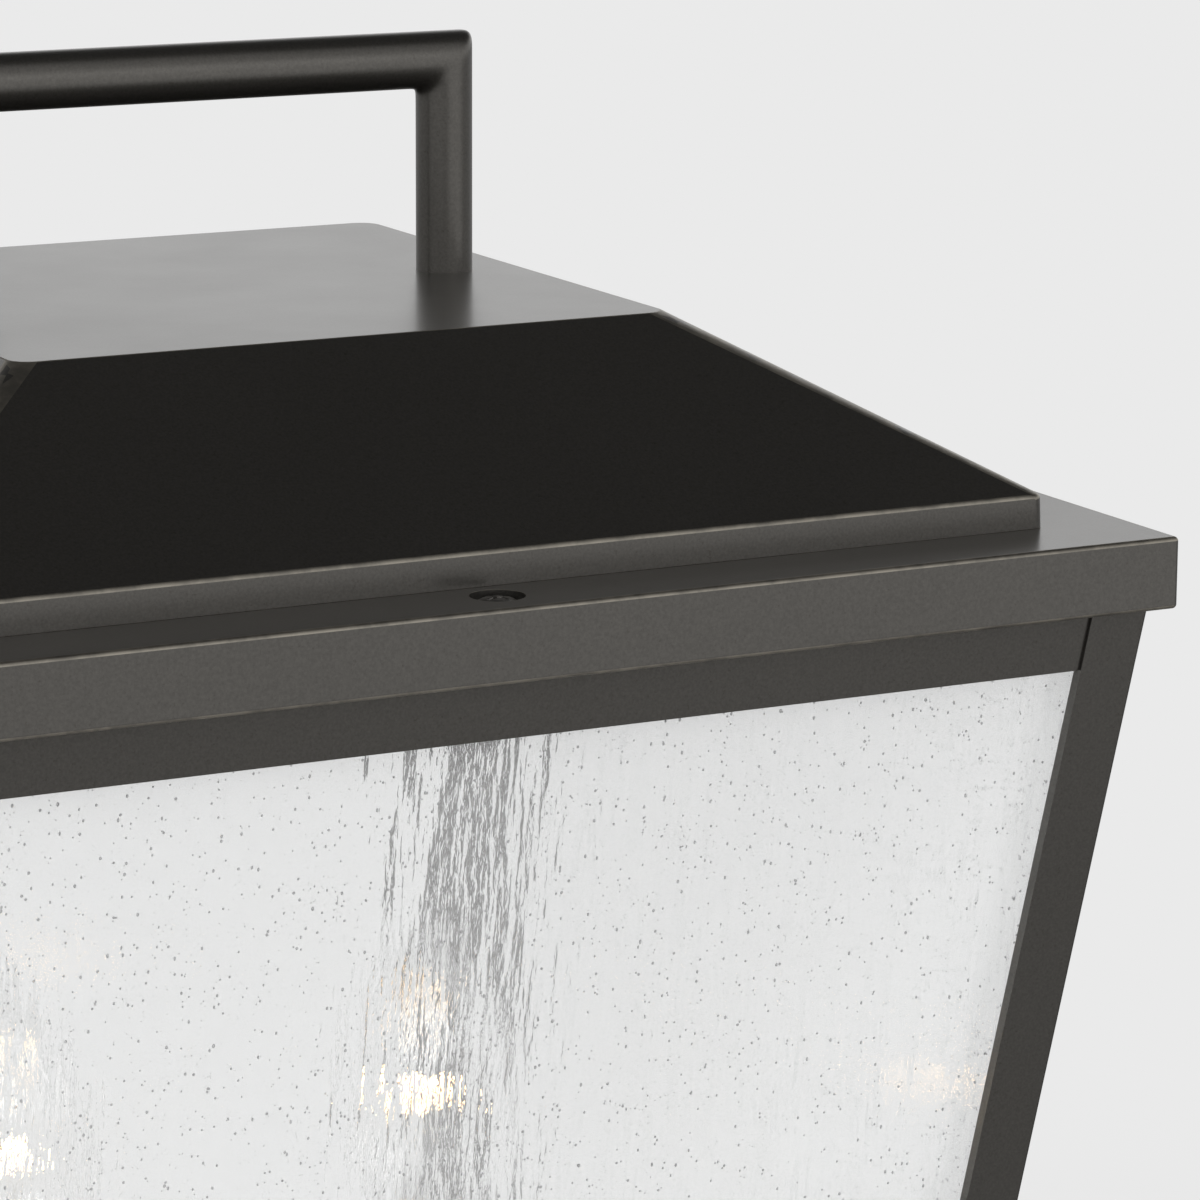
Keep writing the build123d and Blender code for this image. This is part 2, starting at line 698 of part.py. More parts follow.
# ================================================================ candles
for side, across in lamps.items():
    candle_axis = Axis((across, 0, 0), (0, 0, 1))
    candle_plane = Plane(origin=(across, 0, 0), x_dir=(1, 0, 0), z_dir=(0, -1, 0))

    # Dished cup under the sleeve.
    with BuildPart() as drip_cup:
        with BuildSketch(candle_plane):
            with BuildLine():
                Polyline(
                    (socket_stub_radius + bar_stub_play, bar_top),
                    (sleeve_radius + drip_metal, bar_top),
                )
                Spline(
                    (sleeve_radius + drip_metal, bar_top),
                    (drip_radius, bar_top + drip_height),
                    tangents=((1, 0), (0.4, 1)),
                )
                Line(
                    (drip_radius, bar_top + drip_height),
                    (drip_radius - drip_metal, bar_top + drip_height),
                )
                Spline(
                    (drip_radius - drip_metal, bar_top + drip_height),
                    (sleeve_radius + drip_metal, socket_foot),
                    tangents=((-0.4, -1), (-1, 0)),
                )
                Polyline(
                    (sleeve_radius + drip_metal, socket_foot),
                    (socket_stub_radius + bar_stub_play, socket_foot),
                    (socket_stub_radius + bar_stub_play, bar_top),
                )
            make_face()
        revolve(axis=candle_axis)
    drip_cup.part.label = f"drip_cup_{side}"
    export_step(drip_cup.part, f"parts/drip_cup_{side}.step")

    # Lamp socket with a threaded stub that goes down through the bar.
    with BuildPart() as socket:
        with BuildSketch(Plane.XY.offset(socket_foot)):
            with Locations((across, 0)):
                Circle(socket_radius)
        extrude(amount=socket_head - socket_foot)
        with BuildSketch(Plane.XY.offset(socket_foot)):
            with Locations((across, 0)):
                Circle(socket_stub_radius)
        extrude(amount=-socket_stub_length)
        with BuildSketch(Plane.XY.offset(socket_head)):
            with Locations((across, 0)):
                Circle(bulb_base_radius + socket_play)
        extrude(amount=-socket_depth, mode=Mode.SUBTRACT)
    socket.part.label = f"socket_{side}"
    export_step(socket.part, f"parts/socket_{side}.step")

    # Candle sleeve that slips over the socket.
    with BuildPart() as candle_sleeve:
        with BuildSketch(Plane.XY.offset(socket_foot)):
            with Locations((across, 0)):
                Circle(sleeve_radius)
                Circle(sleeve_radius - sleeve_wall, mode=Mode.SUBTRACT)
        extrude(amount=base_top - sleeve_gap - socket_foot)
        fillet(
            candle_sleeve.edges().group_by(Axis.Z)[-1].sort_by(SortBy.RADIUS)[-1],
            radius=sleeve_wall / 2,
        )
    candle_sleeve.part.label = f"candle_sleeve_{side}"
    export_step(candle_sleeve.part, f"parts/candle_sleeve_{side}.step")

    # Screw base of the bulb, with its contact.
    with BuildPart() as bulb_base:
        with BuildSketch(Plane.XY.offset(bulb_foot)):
            with Locations((across, 0)):
                Circle(bulb_base_radius)
        extrude(amount=bulb_base_height)
        with BuildSketch(Plane.XY.offset(bulb_foot)):
            with Locations((across, 0)):
                Circle(contact_radius)
        extrude(amount=-contact_height)
        chamfer(
            bulb_base.edges()
            .filter_by(GeomType.CIRCLE)
            .filter_by_position(Axis.Z, bulb_foot, bulb_foot)
            .sort_by(SortBy.RADIUS)[-1],
            length=(bulb_base_radius - contact_radius) / 2,
        )
    bulb_base.part.label = f"bulb_base_{side}"
    export_step(bulb_base.part, f"parts/bulb_base_{side}.step")

    # Torpedo envelope: a turned glass wall, open at its neck.
    belly_level = base_top + envelope_height * 0.25
    shoulder_level = base_top + envelope_height * 0.62
    nose_level = base_top + envelope_height * 0.93
    with BuildPart() as bulb_glass:
        with BuildSketch(candle_plane):
            with BuildLine():
                Bezier(
                    (bulb_neck_radius, base_top),
                    (bulb_radius * 1.5, belly_level),
                    (bulb_radius * 1.2, shoulder_level),
                    (bulb_radius * 0.12, nose_level),
                    (0, bulb_top),
                )
                Line((0, bulb_top), (0, bulb_top - 2 * bulb_wall))
                Bezier(
                    (0, bulb_top - 2 * bulb_wall),
                    (bulb_radius * 0.12, nose_level - bulb_wall),
                    (bulb_radius * 1.2 - bulb_wall, shoulder_level),
                    (bulb_radius * 1.5 - bulb_wall, belly_level),
                    (bulb_neck_radius - bulb_wall, base_top),
                )
                Line((bulb_neck_radius - bulb_wall, base_top), (bulb_neck_radius, base_top))
            make_face()
        revolve(axis=candle_axis)
    bulb_glass.part.label = f"bulb_glass_{side}"
    export_step(bulb_glass.part, f"parts/bulb_glass_{side}.step")

    # Glass mount with the arched filament on its two lead wires.
    mount_top = base_top + mount_height
    with BuildPart() as bulb_filament:
        with BuildSketch(candle_plane):
            with BuildLine():
                Polyline(
                    (0, base_top),
                    (mount_flare, base_top),
                    (mount_radius, base_top + mount_height / 2),
                    (mount_radius, mount_top),
                    (0, mount_top),
                    close=True,
                )
            make_face()
        revolve(axis=candle_axis)
        with BuildLine():
            arch_foot = mount_top - mount_radius
            FilletPolyline(
                (across - mount_radius / 2, 0, arch_foot),
                (across - arch_width / 2, 0, filament_level),
                (across, 0, filament_level + arch_width),
                (across + arch_width / 2, 0, filament_level),
                (across + mount_radius / 2, 0, arch_foot),
                radius=arch_width / 5,
            )
        arch_start = Vector(across - mount_radius / 2, 0, arch_foot)
        arch_way = Vector(across - arch_width / 2, 0, filament_level) - arch_start
        with BuildSketch(Plane(origin=arch_start, z_dir=arch_way)):
            Circle(wire_radius)
        sweep()
    bulb_filament.part.label = f"bulb_filament_{side}"
    export_step(bulb_filament.part, f"parts/bulb_filament_{side}.step")
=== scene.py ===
import json
import math

import bmesh
import bpy
from mathutils import Matrix, Vector, noise


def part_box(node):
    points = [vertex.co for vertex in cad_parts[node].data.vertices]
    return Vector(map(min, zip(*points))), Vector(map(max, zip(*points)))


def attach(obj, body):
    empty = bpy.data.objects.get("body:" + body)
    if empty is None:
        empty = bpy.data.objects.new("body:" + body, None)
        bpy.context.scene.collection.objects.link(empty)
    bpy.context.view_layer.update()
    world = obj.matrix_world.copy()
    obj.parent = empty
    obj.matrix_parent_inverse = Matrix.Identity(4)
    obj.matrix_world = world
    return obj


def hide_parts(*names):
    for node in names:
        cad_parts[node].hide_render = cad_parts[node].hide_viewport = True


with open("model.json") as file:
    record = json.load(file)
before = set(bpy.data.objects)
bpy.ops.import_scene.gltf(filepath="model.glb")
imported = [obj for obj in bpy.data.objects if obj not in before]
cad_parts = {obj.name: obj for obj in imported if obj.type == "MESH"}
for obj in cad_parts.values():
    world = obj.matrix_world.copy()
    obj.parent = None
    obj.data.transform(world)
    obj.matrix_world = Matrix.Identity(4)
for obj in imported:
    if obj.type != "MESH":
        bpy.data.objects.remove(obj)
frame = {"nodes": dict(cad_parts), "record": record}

bl_info = {
    "name": "Post Top Lantern",
    "version": (1, 0, 0),
    "blender": (4, 5, 0),
    "location": "View3D > Sidebar > Lantern",
    "description": "Dresses a square, tapered post top lantern with seeded glass and a rod handle",
    "category": "Object",
}

SIDES = ("front", "right", "rear", "left")
CORNERS = ("front_right", "rear_right", "rear_left", "front_left")
LAMPS = ("left", "right")
BODY_OF = {
    node: body
    for body, nodes in frame["record"]["behaviour"]["bodies"].items()
    for node in nodes
}
UP = Vector((0, 0, 1))
LEVEL = 1e-5  # corners whose heights differ by less lie level
NOISE_RANGE = (0.3, 0.7)  # where nearly all of a noise lies
SEAM = 0.00005  # between a rail's face sheet and the posts
RAIL_DEPTH = 0.00255  # from the posts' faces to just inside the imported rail
HEM_HEIGHT = 0.007
ROUNDED_FROM = 26  # edges that turn by more degrees than this are rounded
FINE_EDGE = 0.6  # share of the round on small and thin pieces
FITTING_EDGE = 0.8  # share of the round on the fittings
SEED_DEPTH = 0.0008  # how far from a pane's middle the seeds lie at most
SEED_CROWD = (0.5, 1.8)  # share of the seeds at a pane's foot and at its head
FIRST_RANDOM_SEED = 17
FLOOR_HALF = 30.0
FLOOR_BRIGHT_WAY = (0.37, -0.93, 0)  # where the mirrored floor is brightest
FLOOR_SIDE_WAY = (-0.87, -0.5, 0)  # where it is a little brighter
SKY_BRIGHT_WAY = (0.19, -0.72, 0.67)
LAMP_AIM = Vector((0, 0, 0.3))
SOFT_BOXES = (  # name, place, size, power
    ("soft_box_left", (-2.3, -2.0, 1.7), 1.8, 55),
    ("soft_box_right", (2.4, -1.5, 1.3), 1.6, 26),
    ("soft_box_rear", (0.6, 2.6, 1.8), 1.6, 20),
)


# ---------- settings
class LanternFinish(bpy.types.PropertyGroup):
    """Colours and finishes."""

    bronze: bpy.props.FloatVectorProperty(
        name="Bronze", description="Reflected colour of the dark bronze finish",
        subtype="COLOR", size=3, min=0, max=1, default=(0.094, 0.089, 0.081),
    )
    bronze_dark: bpy.props.FloatVectorProperty(
        name="Bronze Speckle", description="Darker grains in the bronze finish",
        subtype="COLOR", size=3, min=0, max=1, default=(0.06, 0.053, 0.046),
    )
    # painted highlight: the lighter beige given to the edge bevels of the roof and ring
    rubbed: bpy.props.FloatVectorProperty(
        name="Edge Highlight", description="Lighter bronze painted on the edges as a highlight",
        subtype="COLOR", size=3, min=0, max=1, default=(0.31, 0.285, 0.24),
    )
    bronze_roughness: bpy.props.FloatProperty(
        name="Bronze Roughness", description="Softness of the reflections in the bronze",
        subtype="FACTOR", min=0, max=1, default=0.3,
    )
    grain: bpy.props.FloatProperty(
        name="Grain", description="Size of the grain in the bronze finish",
        unit="LENGTH", min=0.0001, max=0.01, default=0.0006,
    )
    glass: bpy.props.FloatVectorProperty(
        name="Glass", description="Tint of the seeded panes",
        subtype="COLOR", size=3, min=0, max=1, default=(0.974, 0.977, 0.977),
    )
    ivory: bpy.props.FloatVectorProperty(
        name="Ivory", description="Colour of the candle sleeves",
        subtype="COLOR", size=3, min=0, max=1, default=(0.82, 0.76, 0.62),
    )
    glow: bpy.props.FloatVectorProperty(
        name="Glow", description="Colour of the lit filaments",
        subtype="COLOR", size=3, min=0, max=1, default=(1.0, 0.66, 0.3),
    )
    glow_strength: bpy.props.FloatProperty(
        name="Glow Strength", description="Brightness of the lit filaments",
        min=0, max=500, default=13,
    )


class LanternSizes(bpy.types.PropertyGroup):
    """Sizes of the fine forms."""

    edge_round: bpy.props.FloatProperty(
        name="Edge Round", description="Small round on the edges of the sheet metal",
        unit="LENGTH", min=0, max=0.002, default=0.00035,
    )
    corner_round: bpy.props.IntProperty(
        name="Corner Softening",
        description="How far the handle's mitres are ground and welded round",
        min=0, max=400, default=80,
    )
    rail_step: bpy.props.FloatProperty(
        name="Rail Step", description="How far the rails' faces lie behind the posts",
        unit="LENGTH", min=0, max=0.002, default=0.0007,
    )
    hem_lean: bpy.props.FloatProperty(
        name="Hem Lean", description="How far the top of the roof's hem leans in",
        unit="LENGTH", min=0, max=0.001, default=0.0002,
    )
    seed_count: bpy.props.FloatProperty(
        name="Seeds", description="Seeds in a square metre of glass",
        min=0, max=300000, default=134000,
    )
    seed_small: bpy.props.FloatProperty(
        name="Smallest Seed", description="Radius of the smallest seed",
        unit="LENGTH", min=0.00001, max=0.001, default=0.00009,
    )
    seed_large: bpy.props.FloatProperty(
        name="Largest Seed", description="Radius of the largest seed",
        unit="LENGTH", min=0.00001, max=0.001, default=0.00035,
    )
    seed_stretch: bpy.props.FloatProperty(
        name="Seed Stretch", description="Most that a seed is drawn out upwards",
        min=1, max=6, default=1.6,
    )
    ripple: bpy.props.FloatProperty(
        name="Ripple", description="Height of the waves in the faces of the glass",
        unit="LENGTH", min=0, max=0.0002, default=0.00005,
    )


class LanternStage(bpy.types.PropertyGroup):
    """Camera, and the colour of the floor and backdrop."""

    background: bpy.props.FloatVectorProperty(
        name="Background", description="Colour of the floor and backdrop",
        subtype="COLOR", size=3, min=0, max=1, default=(0.823, 0.823, 0.823),
    )
    camera_place: bpy.props.FloatVectorProperty(
        name="Camera Place", description="Where the camera stands",
        subtype="TRANSLATION", unit="LENGTH", size=3, default=(-0.4553, -1.0505, 0.6556),
    )
    camera_turn: bpy.props.FloatVectorProperty(
        name="Camera Turn", description="Pitch down, roll and turn of the camera",
        subtype="EULER", unit="ROTATION", size=3, default=(-0.2147, 0.005, -0.4849),
    )
    lens: bpy.props.FloatProperty(
        name="Lens", description="Focal length in millimetres on a 36 mm sensor",
        min=10, max=500, default=156.93,
    )


# ---------- node trees
class Nodes:
    """A node tree under construction."""

    def __init__(self, tree, output=None):
        self.tree = tree
        if output:
            tree.nodes.clear()
            self.output = tree.nodes.new("ShaderNode" + output)

    def node(self, kind, settings=(), **inputs):
        """Adds a node and gives its outputs. A kind with no prefix is a shader node."""
        made = self.tree.nodes.new(kind if "Node" in kind else "ShaderNode" + kind)
        for key, value in dict(settings).items():
            setattr(made, key, value)
        for key, value in inputs.items():
            self.put(made, key.replace("_", " "), value)
        return made.outputs

    def put(self, node, key, value):
        """Links an input or gives it a constant; n0, n1 and so on number the inputs."""
        numbered = key[0] == "n" and key[1:].isdigit()
        socket = node.inputs[int(key[1:]) if numbered else key]
        if isinstance(value, bpy.types.NodeSocket):
            self.tree.links.new(value, socket)
        else:
            socket.default_value = value

    def surface(self, shader):
        """Ends the tree in a shader."""
        self.put(self.output, "Surface", shader)

    def math(self, operation, *values):
        inputs = {f"n{index}": value for index, value in enumerate(values)}
        return self.node("Math", {"operation": operation}, **inputs)[0]

    def dot(self, way, other):
        return self.node("VectorMath", {"operation": "DOT_PRODUCT"}, n0=way, n1=other)["Value"]

    def spread(self, value, low, high, to_low, to_high, kind="LINEAR"):
        """Maps the range from low to high onto another."""
        limits = {"From_Min": low, "From_Max": high, "To_Min": to_low, "To_Max": to_high}
        return self.node("MapRange", {"interpolation_type": kind}, Value=value, **limits)[0]

    def ease(self, *values):
        """Maps like spread, with soft ends."""
        return self.spread(*values, kind="SMOOTHSTEP")

    def across(self, pattern, to_low, to_high):
        """Maps a noise onto a range."""
        return self.spread(pattern, *NOISE_RANGE, to_low, to_high)

    def noise(self, place, scale, detail=2.0, roughness=0.5):
        inputs = {"Scale": scale, "Detail": detail, "Roughness": roughness}
        return self.node("TexNoise", Vector=place, **inputs)[0]

    def blend(self, share, first, second):
        """Mixes two colours."""
        return self.node("Mix", {"data_type": "RGBA"}, n0=share, n6=first, n7=second)[2]

    def mix(self, share, first, second):
        """Mixes two shaders."""
        return self.node("MixShader", n0=share, n1=first, n2=second)[0]


class Shader(Nodes):
    """A node material under construction."""

    def __init__(self, name):
        self.material = bpy.data.materials.new(name)
        self.material.use_nodes = True
        super().__init__(self.material.node_tree, "OutputMaterial")

    def place(self, stretch=(1, 1, 1)):
        """Object coordinates, stretched along the axes."""
        coordinates = self.node("TexCoord")["Object"]
        return self.node("Mapping", Vector=coordinates, Scale=stretch)[0]

    def bump(self, height, distance, strength=1.0, **below):
        """A normal that follows the height; Normal is the one below it."""
        return self.node("Bump", Height=height, Distance=distance, Strength=strength, **below)[0]

    def finished(self, **inputs):
        """Ends in the principled shader and gives the material."""
        self.surface(self.node("BsdfPrincipled", **inputs)[0])
        return self.material

    def finished_clear(self, shader):
        """Ends in a shader that lets the lamps' light pass without being bent."""
        shadow = self.node("LightPath")["Is Shadow Ray"]
        self.surface(self.mix(shadow, shader, self.node("BsdfTransparent")[0]))
        return self.material


class Tree(Nodes):
    """A Geometry Nodes tree under construction."""

    def __init__(self, name, **inputs):
        super().__init__(bpy.data.node_groups.new(name, "GeometryNodeTree"))
        sockets = self.tree.interface
        sockets.new_socket("Geometry", in_out="INPUT", socket_type="NodeSocketGeometry")
        for key, kind in inputs.items():
            name = key.replace("_", " ")
            sockets.new_socket(name, in_out="INPUT", socket_type="NodeSocket" + kind)
        sockets.new_socket("Geometry", in_out="OUTPUT", socket_type="NodeSocketGeometry")
        self.given = self.tree.nodes.new("NodeGroupInput").outputs
        self.result = self.tree.nodes.new("NodeGroupOutput").inputs[0]

    def vector(self, x, y, z):
        return self.node("CombineXYZ", X=x, Y=y, Z=z)[0]

    def finish(self, geometry, material):
        """Ends in real mesh with its material."""
        real = self.node("GeometryNodeRealizeInstances", Geometry=geometry)[0]
        smooth = self.node("GeometryNodeSetShadeSmooth", Geometry=real)[0]
        coated = self.node("GeometryNodeSetMaterial", Geometry=smooth, Material=material)[0]
        self.tree.links.new(coated, self.result)
        return self.tree


# ---------- materials
def rgba(colour, factor=1.0):
    return (*[min(1.0, part * factor) for part in colour[:3]], 1.0)


def satin_bronze(finish):
    """Satin dark bronze: fine grain, faint clouds and small specks."""
    shader = Shader("satin_bronze")
    place = shader.place()
    grain = shader.noise(place, 1.0 / finish.grain, 3.0, 0.65)
    clouds = shader.noise(place, 28.0, 4.0, 0.6)
    specks = shader.noise(place, 1100.0, 2.0, 0.7)
    grain_share = shader.across(grain, 0.0, 1.0)
    speck_share = shader.ease(specks, 0.6, 0.74, 0.0, 0.5)
    base = shader.blend(grain_share, rgba(finish.bronze, 0.86), rgba(finish.bronze, 1.14))
    base = shader.blend(speck_share, base, rgba(finish.bronze_dark))
    low, high = finish.bronze_roughness - 0.015, finish.bronze_roughness + 0.015
    return shader.finished(
        Base_Color=base, Roughness=shader.across(clouds, low, high), Metallic=0.88,
        Coat_Weight=0.3, Coat_Roughness=0.16, Normal=shader.bump(grain, 0.00002, 0.6),
    )


def rubbed_bronze(finish):
    """Painted highlight: the edges are painted a lighter beige, unevenly in patches."""
    shader = Shader("rubbed_bronze")
    highlight_patches = shader.noise(shader.place(), 140.0, 4.0, 0.65)
    # painted highlight: how much of the lighter beige shows, patchy along the edge
    share = shader.ease(highlight_patches, 0.3, 0.66, 0.35, 0.9)
    return shader.finished(
        Base_Color=shader.blend(share, rgba(finish.bronze), rgba(finish.rubbed)),
        Roughness=shader.across(highlight_patches, 0.3, 0.38), Metallic=0.9,
        Normal=shader.bump(highlight_patches, 0.00003, 0.4),
    )


def pane_glass(finish):
    """Slightly hazy glass with upright reams: long waves and fine drawn lines."""
    shader = Shader("pane_glass")
    waves = shader.noise(shader.place((145, 145, 14)), 1.0, 3.0, 0.55)
    crinkle = shader.noise(shader.place((1100, 1100, 350)), 1.0, 2.0, 0.6)
    normal = shader.bump(crinkle, 0.00004, Normal=shader.bump(waves, 0.00052))
    return shader.finished_clear(shader.node(
        "BsdfPrincipled", Base_Color=rgba(finish.glass), Roughness=0.0, IOR=1.5,
        Transmission_Weight=0.91, Normal=normal,
    )[0])


def seed_air(finish):
    """Air in a seed: clear in the middle, with a grey rim as painted shade, in place of the dark
    edge that bent light gives a real seed.
    """
    shader = Shader("seed_air")
    rim = shader.node("LayerWeight", Blend=0.35)["Facing"]
    cloud = shader.noise(shader.place(), 900.0, 1.0)
    # painted shade: the grey that shows towards the seed's rim
    tone = shader.blend(cloud, rgba(finish.glass, 0.14), rgba(finish.glass, 0.38))
    wall = shader.node("BsdfPrincipled", Base_Color=tone, Roughness=0.35)[0]
    clear = shader.node("BsdfTransparent")[0]
    return shader.finished_clear(shader.mix(shader.ease(rim, 0.02, 0.2, 0.18, 0.74), clear, wall))


def blown_glass():
    """Thin clear glass of the bulbs."""
    shader = Shader("blown_glass")
    drift = shader.noise(shader.place(), 60.0, 1.0)
    return shader.finished_clear(shader.node(
        "BsdfPrincipled", Base_Color=(0.998, 0.997, 0.995, 1.0), Roughness=0.0, IOR=1.48,
        Transmission_Weight=1.0, Normal=shader.bump(drift, 0.00002),
    )[0])


def mottled(name, mottle, tones, roughs, relief, stretch=(1, 1, 1), grain=None, **inputs):
    """A finish whose colour and gloss follow one noise (scale, detail and roughness)."""
    shader = Shader(name)
    place = shader.place(stretch)
    pattern = shader.noise(place, *mottle)
    height = shader.noise(place, grain) if grain else pattern
    return shader.finished(
        Base_Color=shader.blend(pattern, *tones), Normal=shader.bump(height, *relief),
        Roughness=shader.across(pattern, *roughs), **inputs,
    )


def zinc_plate():
    """Zinc plate: grey, faintly mottled."""
    tones = (0.42, 0.41, 0.37, 1), (0.6, 0.59, 0.55, 1)
    return mottled(
        "zinc_plate", (320.0, 4.0, 0.6), tones, (0.28, 0.44), (0.00002, 0.5),
        grain=1800.0, Metallic=1.0,
    )


def rolled_brass():
    """Rolled brass with handling marks."""
    tones = (0.56, 0.41, 0.18, 1), (0.8, 0.63, 0.32, 1)
    return mottled(
        "rolled_brass", (240.0, 4.0, 0.6), tones, (0.2, 0.36), (0.00003, 0.4), Metallic=1.0
    )


def phenolic():
    """Moulded black plastic of the sockets."""
    tones = (0.018, 0.018, 0.018, 1), (0.04, 0.038, 0.035, 1)
    return mottled("phenolic", (700.0, 3.0), tones, (0.42, 0.58), (0.00004, 0.5))


def card_ivory(finish):
    """Card sleeve with a resin coat, faintly mottled."""
    return mottled(
        "card_ivory", (160.0, 4.0, 0.6), (rgba(finish.ivory, 0.93), rgba(finish.ivory, 1.04)),
        (0.42, 0.55), (0.00015, 0.4), stretch=(1, 1, 0.25),
        Subsurface_Weight=0.15, Subsurface_Scale=0.002,
    )


def lit_wire(finish):
    """Glowing coil, a little hotter in patches."""
    shader = Shader("lit_wire")
    heat = shader.noise(shader.place(), 500.0, 1.0)
    return shader.finished(
        Base_Color=(0.3, 0.28, 0.26, 1), Metallic=0.6, Roughness=0.5,
        Emission_Color=shader.blend(heat, rgba(finish.glow, 0.85), rgba(finish.glow, 1.0)),
        Emission_Strength=finish.glow_strength,
    )


# ---------- mesh work
def add_object(name, data):
    made = bpy.data.objects.new(name, data)
    bpy.context.scene.collection.objects.link(made)
    return made


def mesh_from(bm, name, *materials, sharp=35.0):
    """Turns a bmesh into a mesh with smooth faces and sharp creases."""
    mesh = bpy.data.meshes.new(name)
    bm.to_mesh(mesh)
    bm.free()
    if "custom_normal" in mesh.attributes:
        mesh.attributes.remove(mesh.attributes["custom_normal"])
    for material in materials:
        mesh.materials.append(material)
    mesh.shade_smooth()
    mesh.set_sharp_from_angle(angle=math.radians(sharp))
    return mesh


def merged_copy(node):
    """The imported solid's triangles as one closed bmesh with plain flat faces."""
    bm = bmesh.new()
    bm.from_mesh(frame["nodes"][node].data)
    bmesh.ops.remove_doubles(bm, verts=bm.verts, dist=2e-6)
    bmesh.ops.dissolve_limit(bm, angle_limit=math.radians(0.4), verts=bm.verts, edges=bm.edges)
    for face in bm.faces:
        face.material_index = 0
    return bm


def stand_for(piece, *nodes):
    """The piece joins the body of the nodes, which are hidden."""
    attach(piece, BODY_OF[nodes[0]])
    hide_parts(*nodes)
    return piece


def dress(node, name, *materials, edge=0.0, segments=2, form=None):
    """A finished copy of a node, or of its given form: rounded edges and even shading."""
    piece = add_object(name, mesh_from(form or merged_copy(node), name, *materials))
    if edge:
        bevel = piece.modifiers.new("edges", "BEVEL")
        bevel.width = edge
        bevel.segments = segments
        bevel.limit_method = "ANGLE"
        bevel.angle_limit = math.radians(ROUNDED_FROM)
        # the rounds take the last finish, which on the roof and ring is the painted edge highlight
        bevel.material = len(materials) - 1
        bevel.harden_normals = True
    even = piece.modifiers.new("even", "WEIGHTED_NORMAL")
    even.keep_sharp = True
    even.weight = 90
    return stand_for(piece, node)


def join_rings(bm, rings, material=0):
    """Closed tube through rings that have the same number of corners."""
    sides = len(rings[0])
    for low, high in zip(rings, rings[1:]):
        for step in range(sides):
            after = (step + 1) % sides
            face = bm.faces.new((low[step], low[after], high[after], high[step]))
            face.material_index = material
    for end in (rings[0][::-1], rings[-1]):
        bm.faces.new(end).material_index = material


def add_tube(bm, points, radius, sides, material):
    """Round closed tube along points, on frames that don't twist."""
    rings = []
    side = None
    for index, point in enumerate(points):
        ahead = points[min(index + 1, len(points) - 1)] - points[max(index - 1, 0)]
        ahead.normalize()
        if side is None:
            side = ahead.orthogonal().normalized()
        side = (side - ahead * side.dot(ahead)).normalized()
        other = ahead.cross(side)
        ring = []
        for step in range(sides):
            turn = math.tau * step / sides
            spoke = math.cos(turn) * side + math.sin(turn) * other
            ring.append(bm.verts.new(point + radius * spoke))
        rings.append(ring)
    join_rings(bm, rings, material)


def add_lathe(bm, profile, centre, sides=40, material=0):
    """Turned form from a profile of (radius, height); ends on the axis are closed."""
    rings = []
    for radius, height in profile:
        ring = []
        for step in range(1 if radius < 1e-7 else sides):
            turn = math.tau * step / sides
            x, y = centre[0] + radius * math.cos(turn), centre[1] + radius * math.sin(turn)
            ring.append(bm.verts.new((x, y, height)))
        rings.append(ring)
    for low, high in zip(rings, rings[1:]):
        for step in range(sides):
            corners = [low[step % len(low)], low[(step + 1) % len(low)]]
            corners += [high[(step + 1) % len(high)], high[step % len(high)]]
            bm.faces.new(list(dict.fromkeys(corners))).material_index = material


def grown(name, base, group, **values):
    """Plain mesh that a tree makes from a base mesh."""
    holder = add_object(name + "_base", base)
    modifier = holder.modifiers.new("grow", "NODES")
    sockets = {
        item.name: item.identifier
        for item in group.interface.items_tree
        if item.item_type == "SOCKET" and item.in_out == "INPUT"
    }
    modifier.node_group = group
    for key, value in values.items():
        modifier[sockets[key.replace("_", " ")]] = value
    graph = bpy.context.evaluated_depsgraph_get()
    graph.update()
    mesh = bpy.data.meshes.new_from_object(holder.evaluated_get(graph))
    mesh.name = name
    holder.modifiers.remove(modifier)
    bpy.data.objects.remove(holder)
    return add_object(name, mesh)


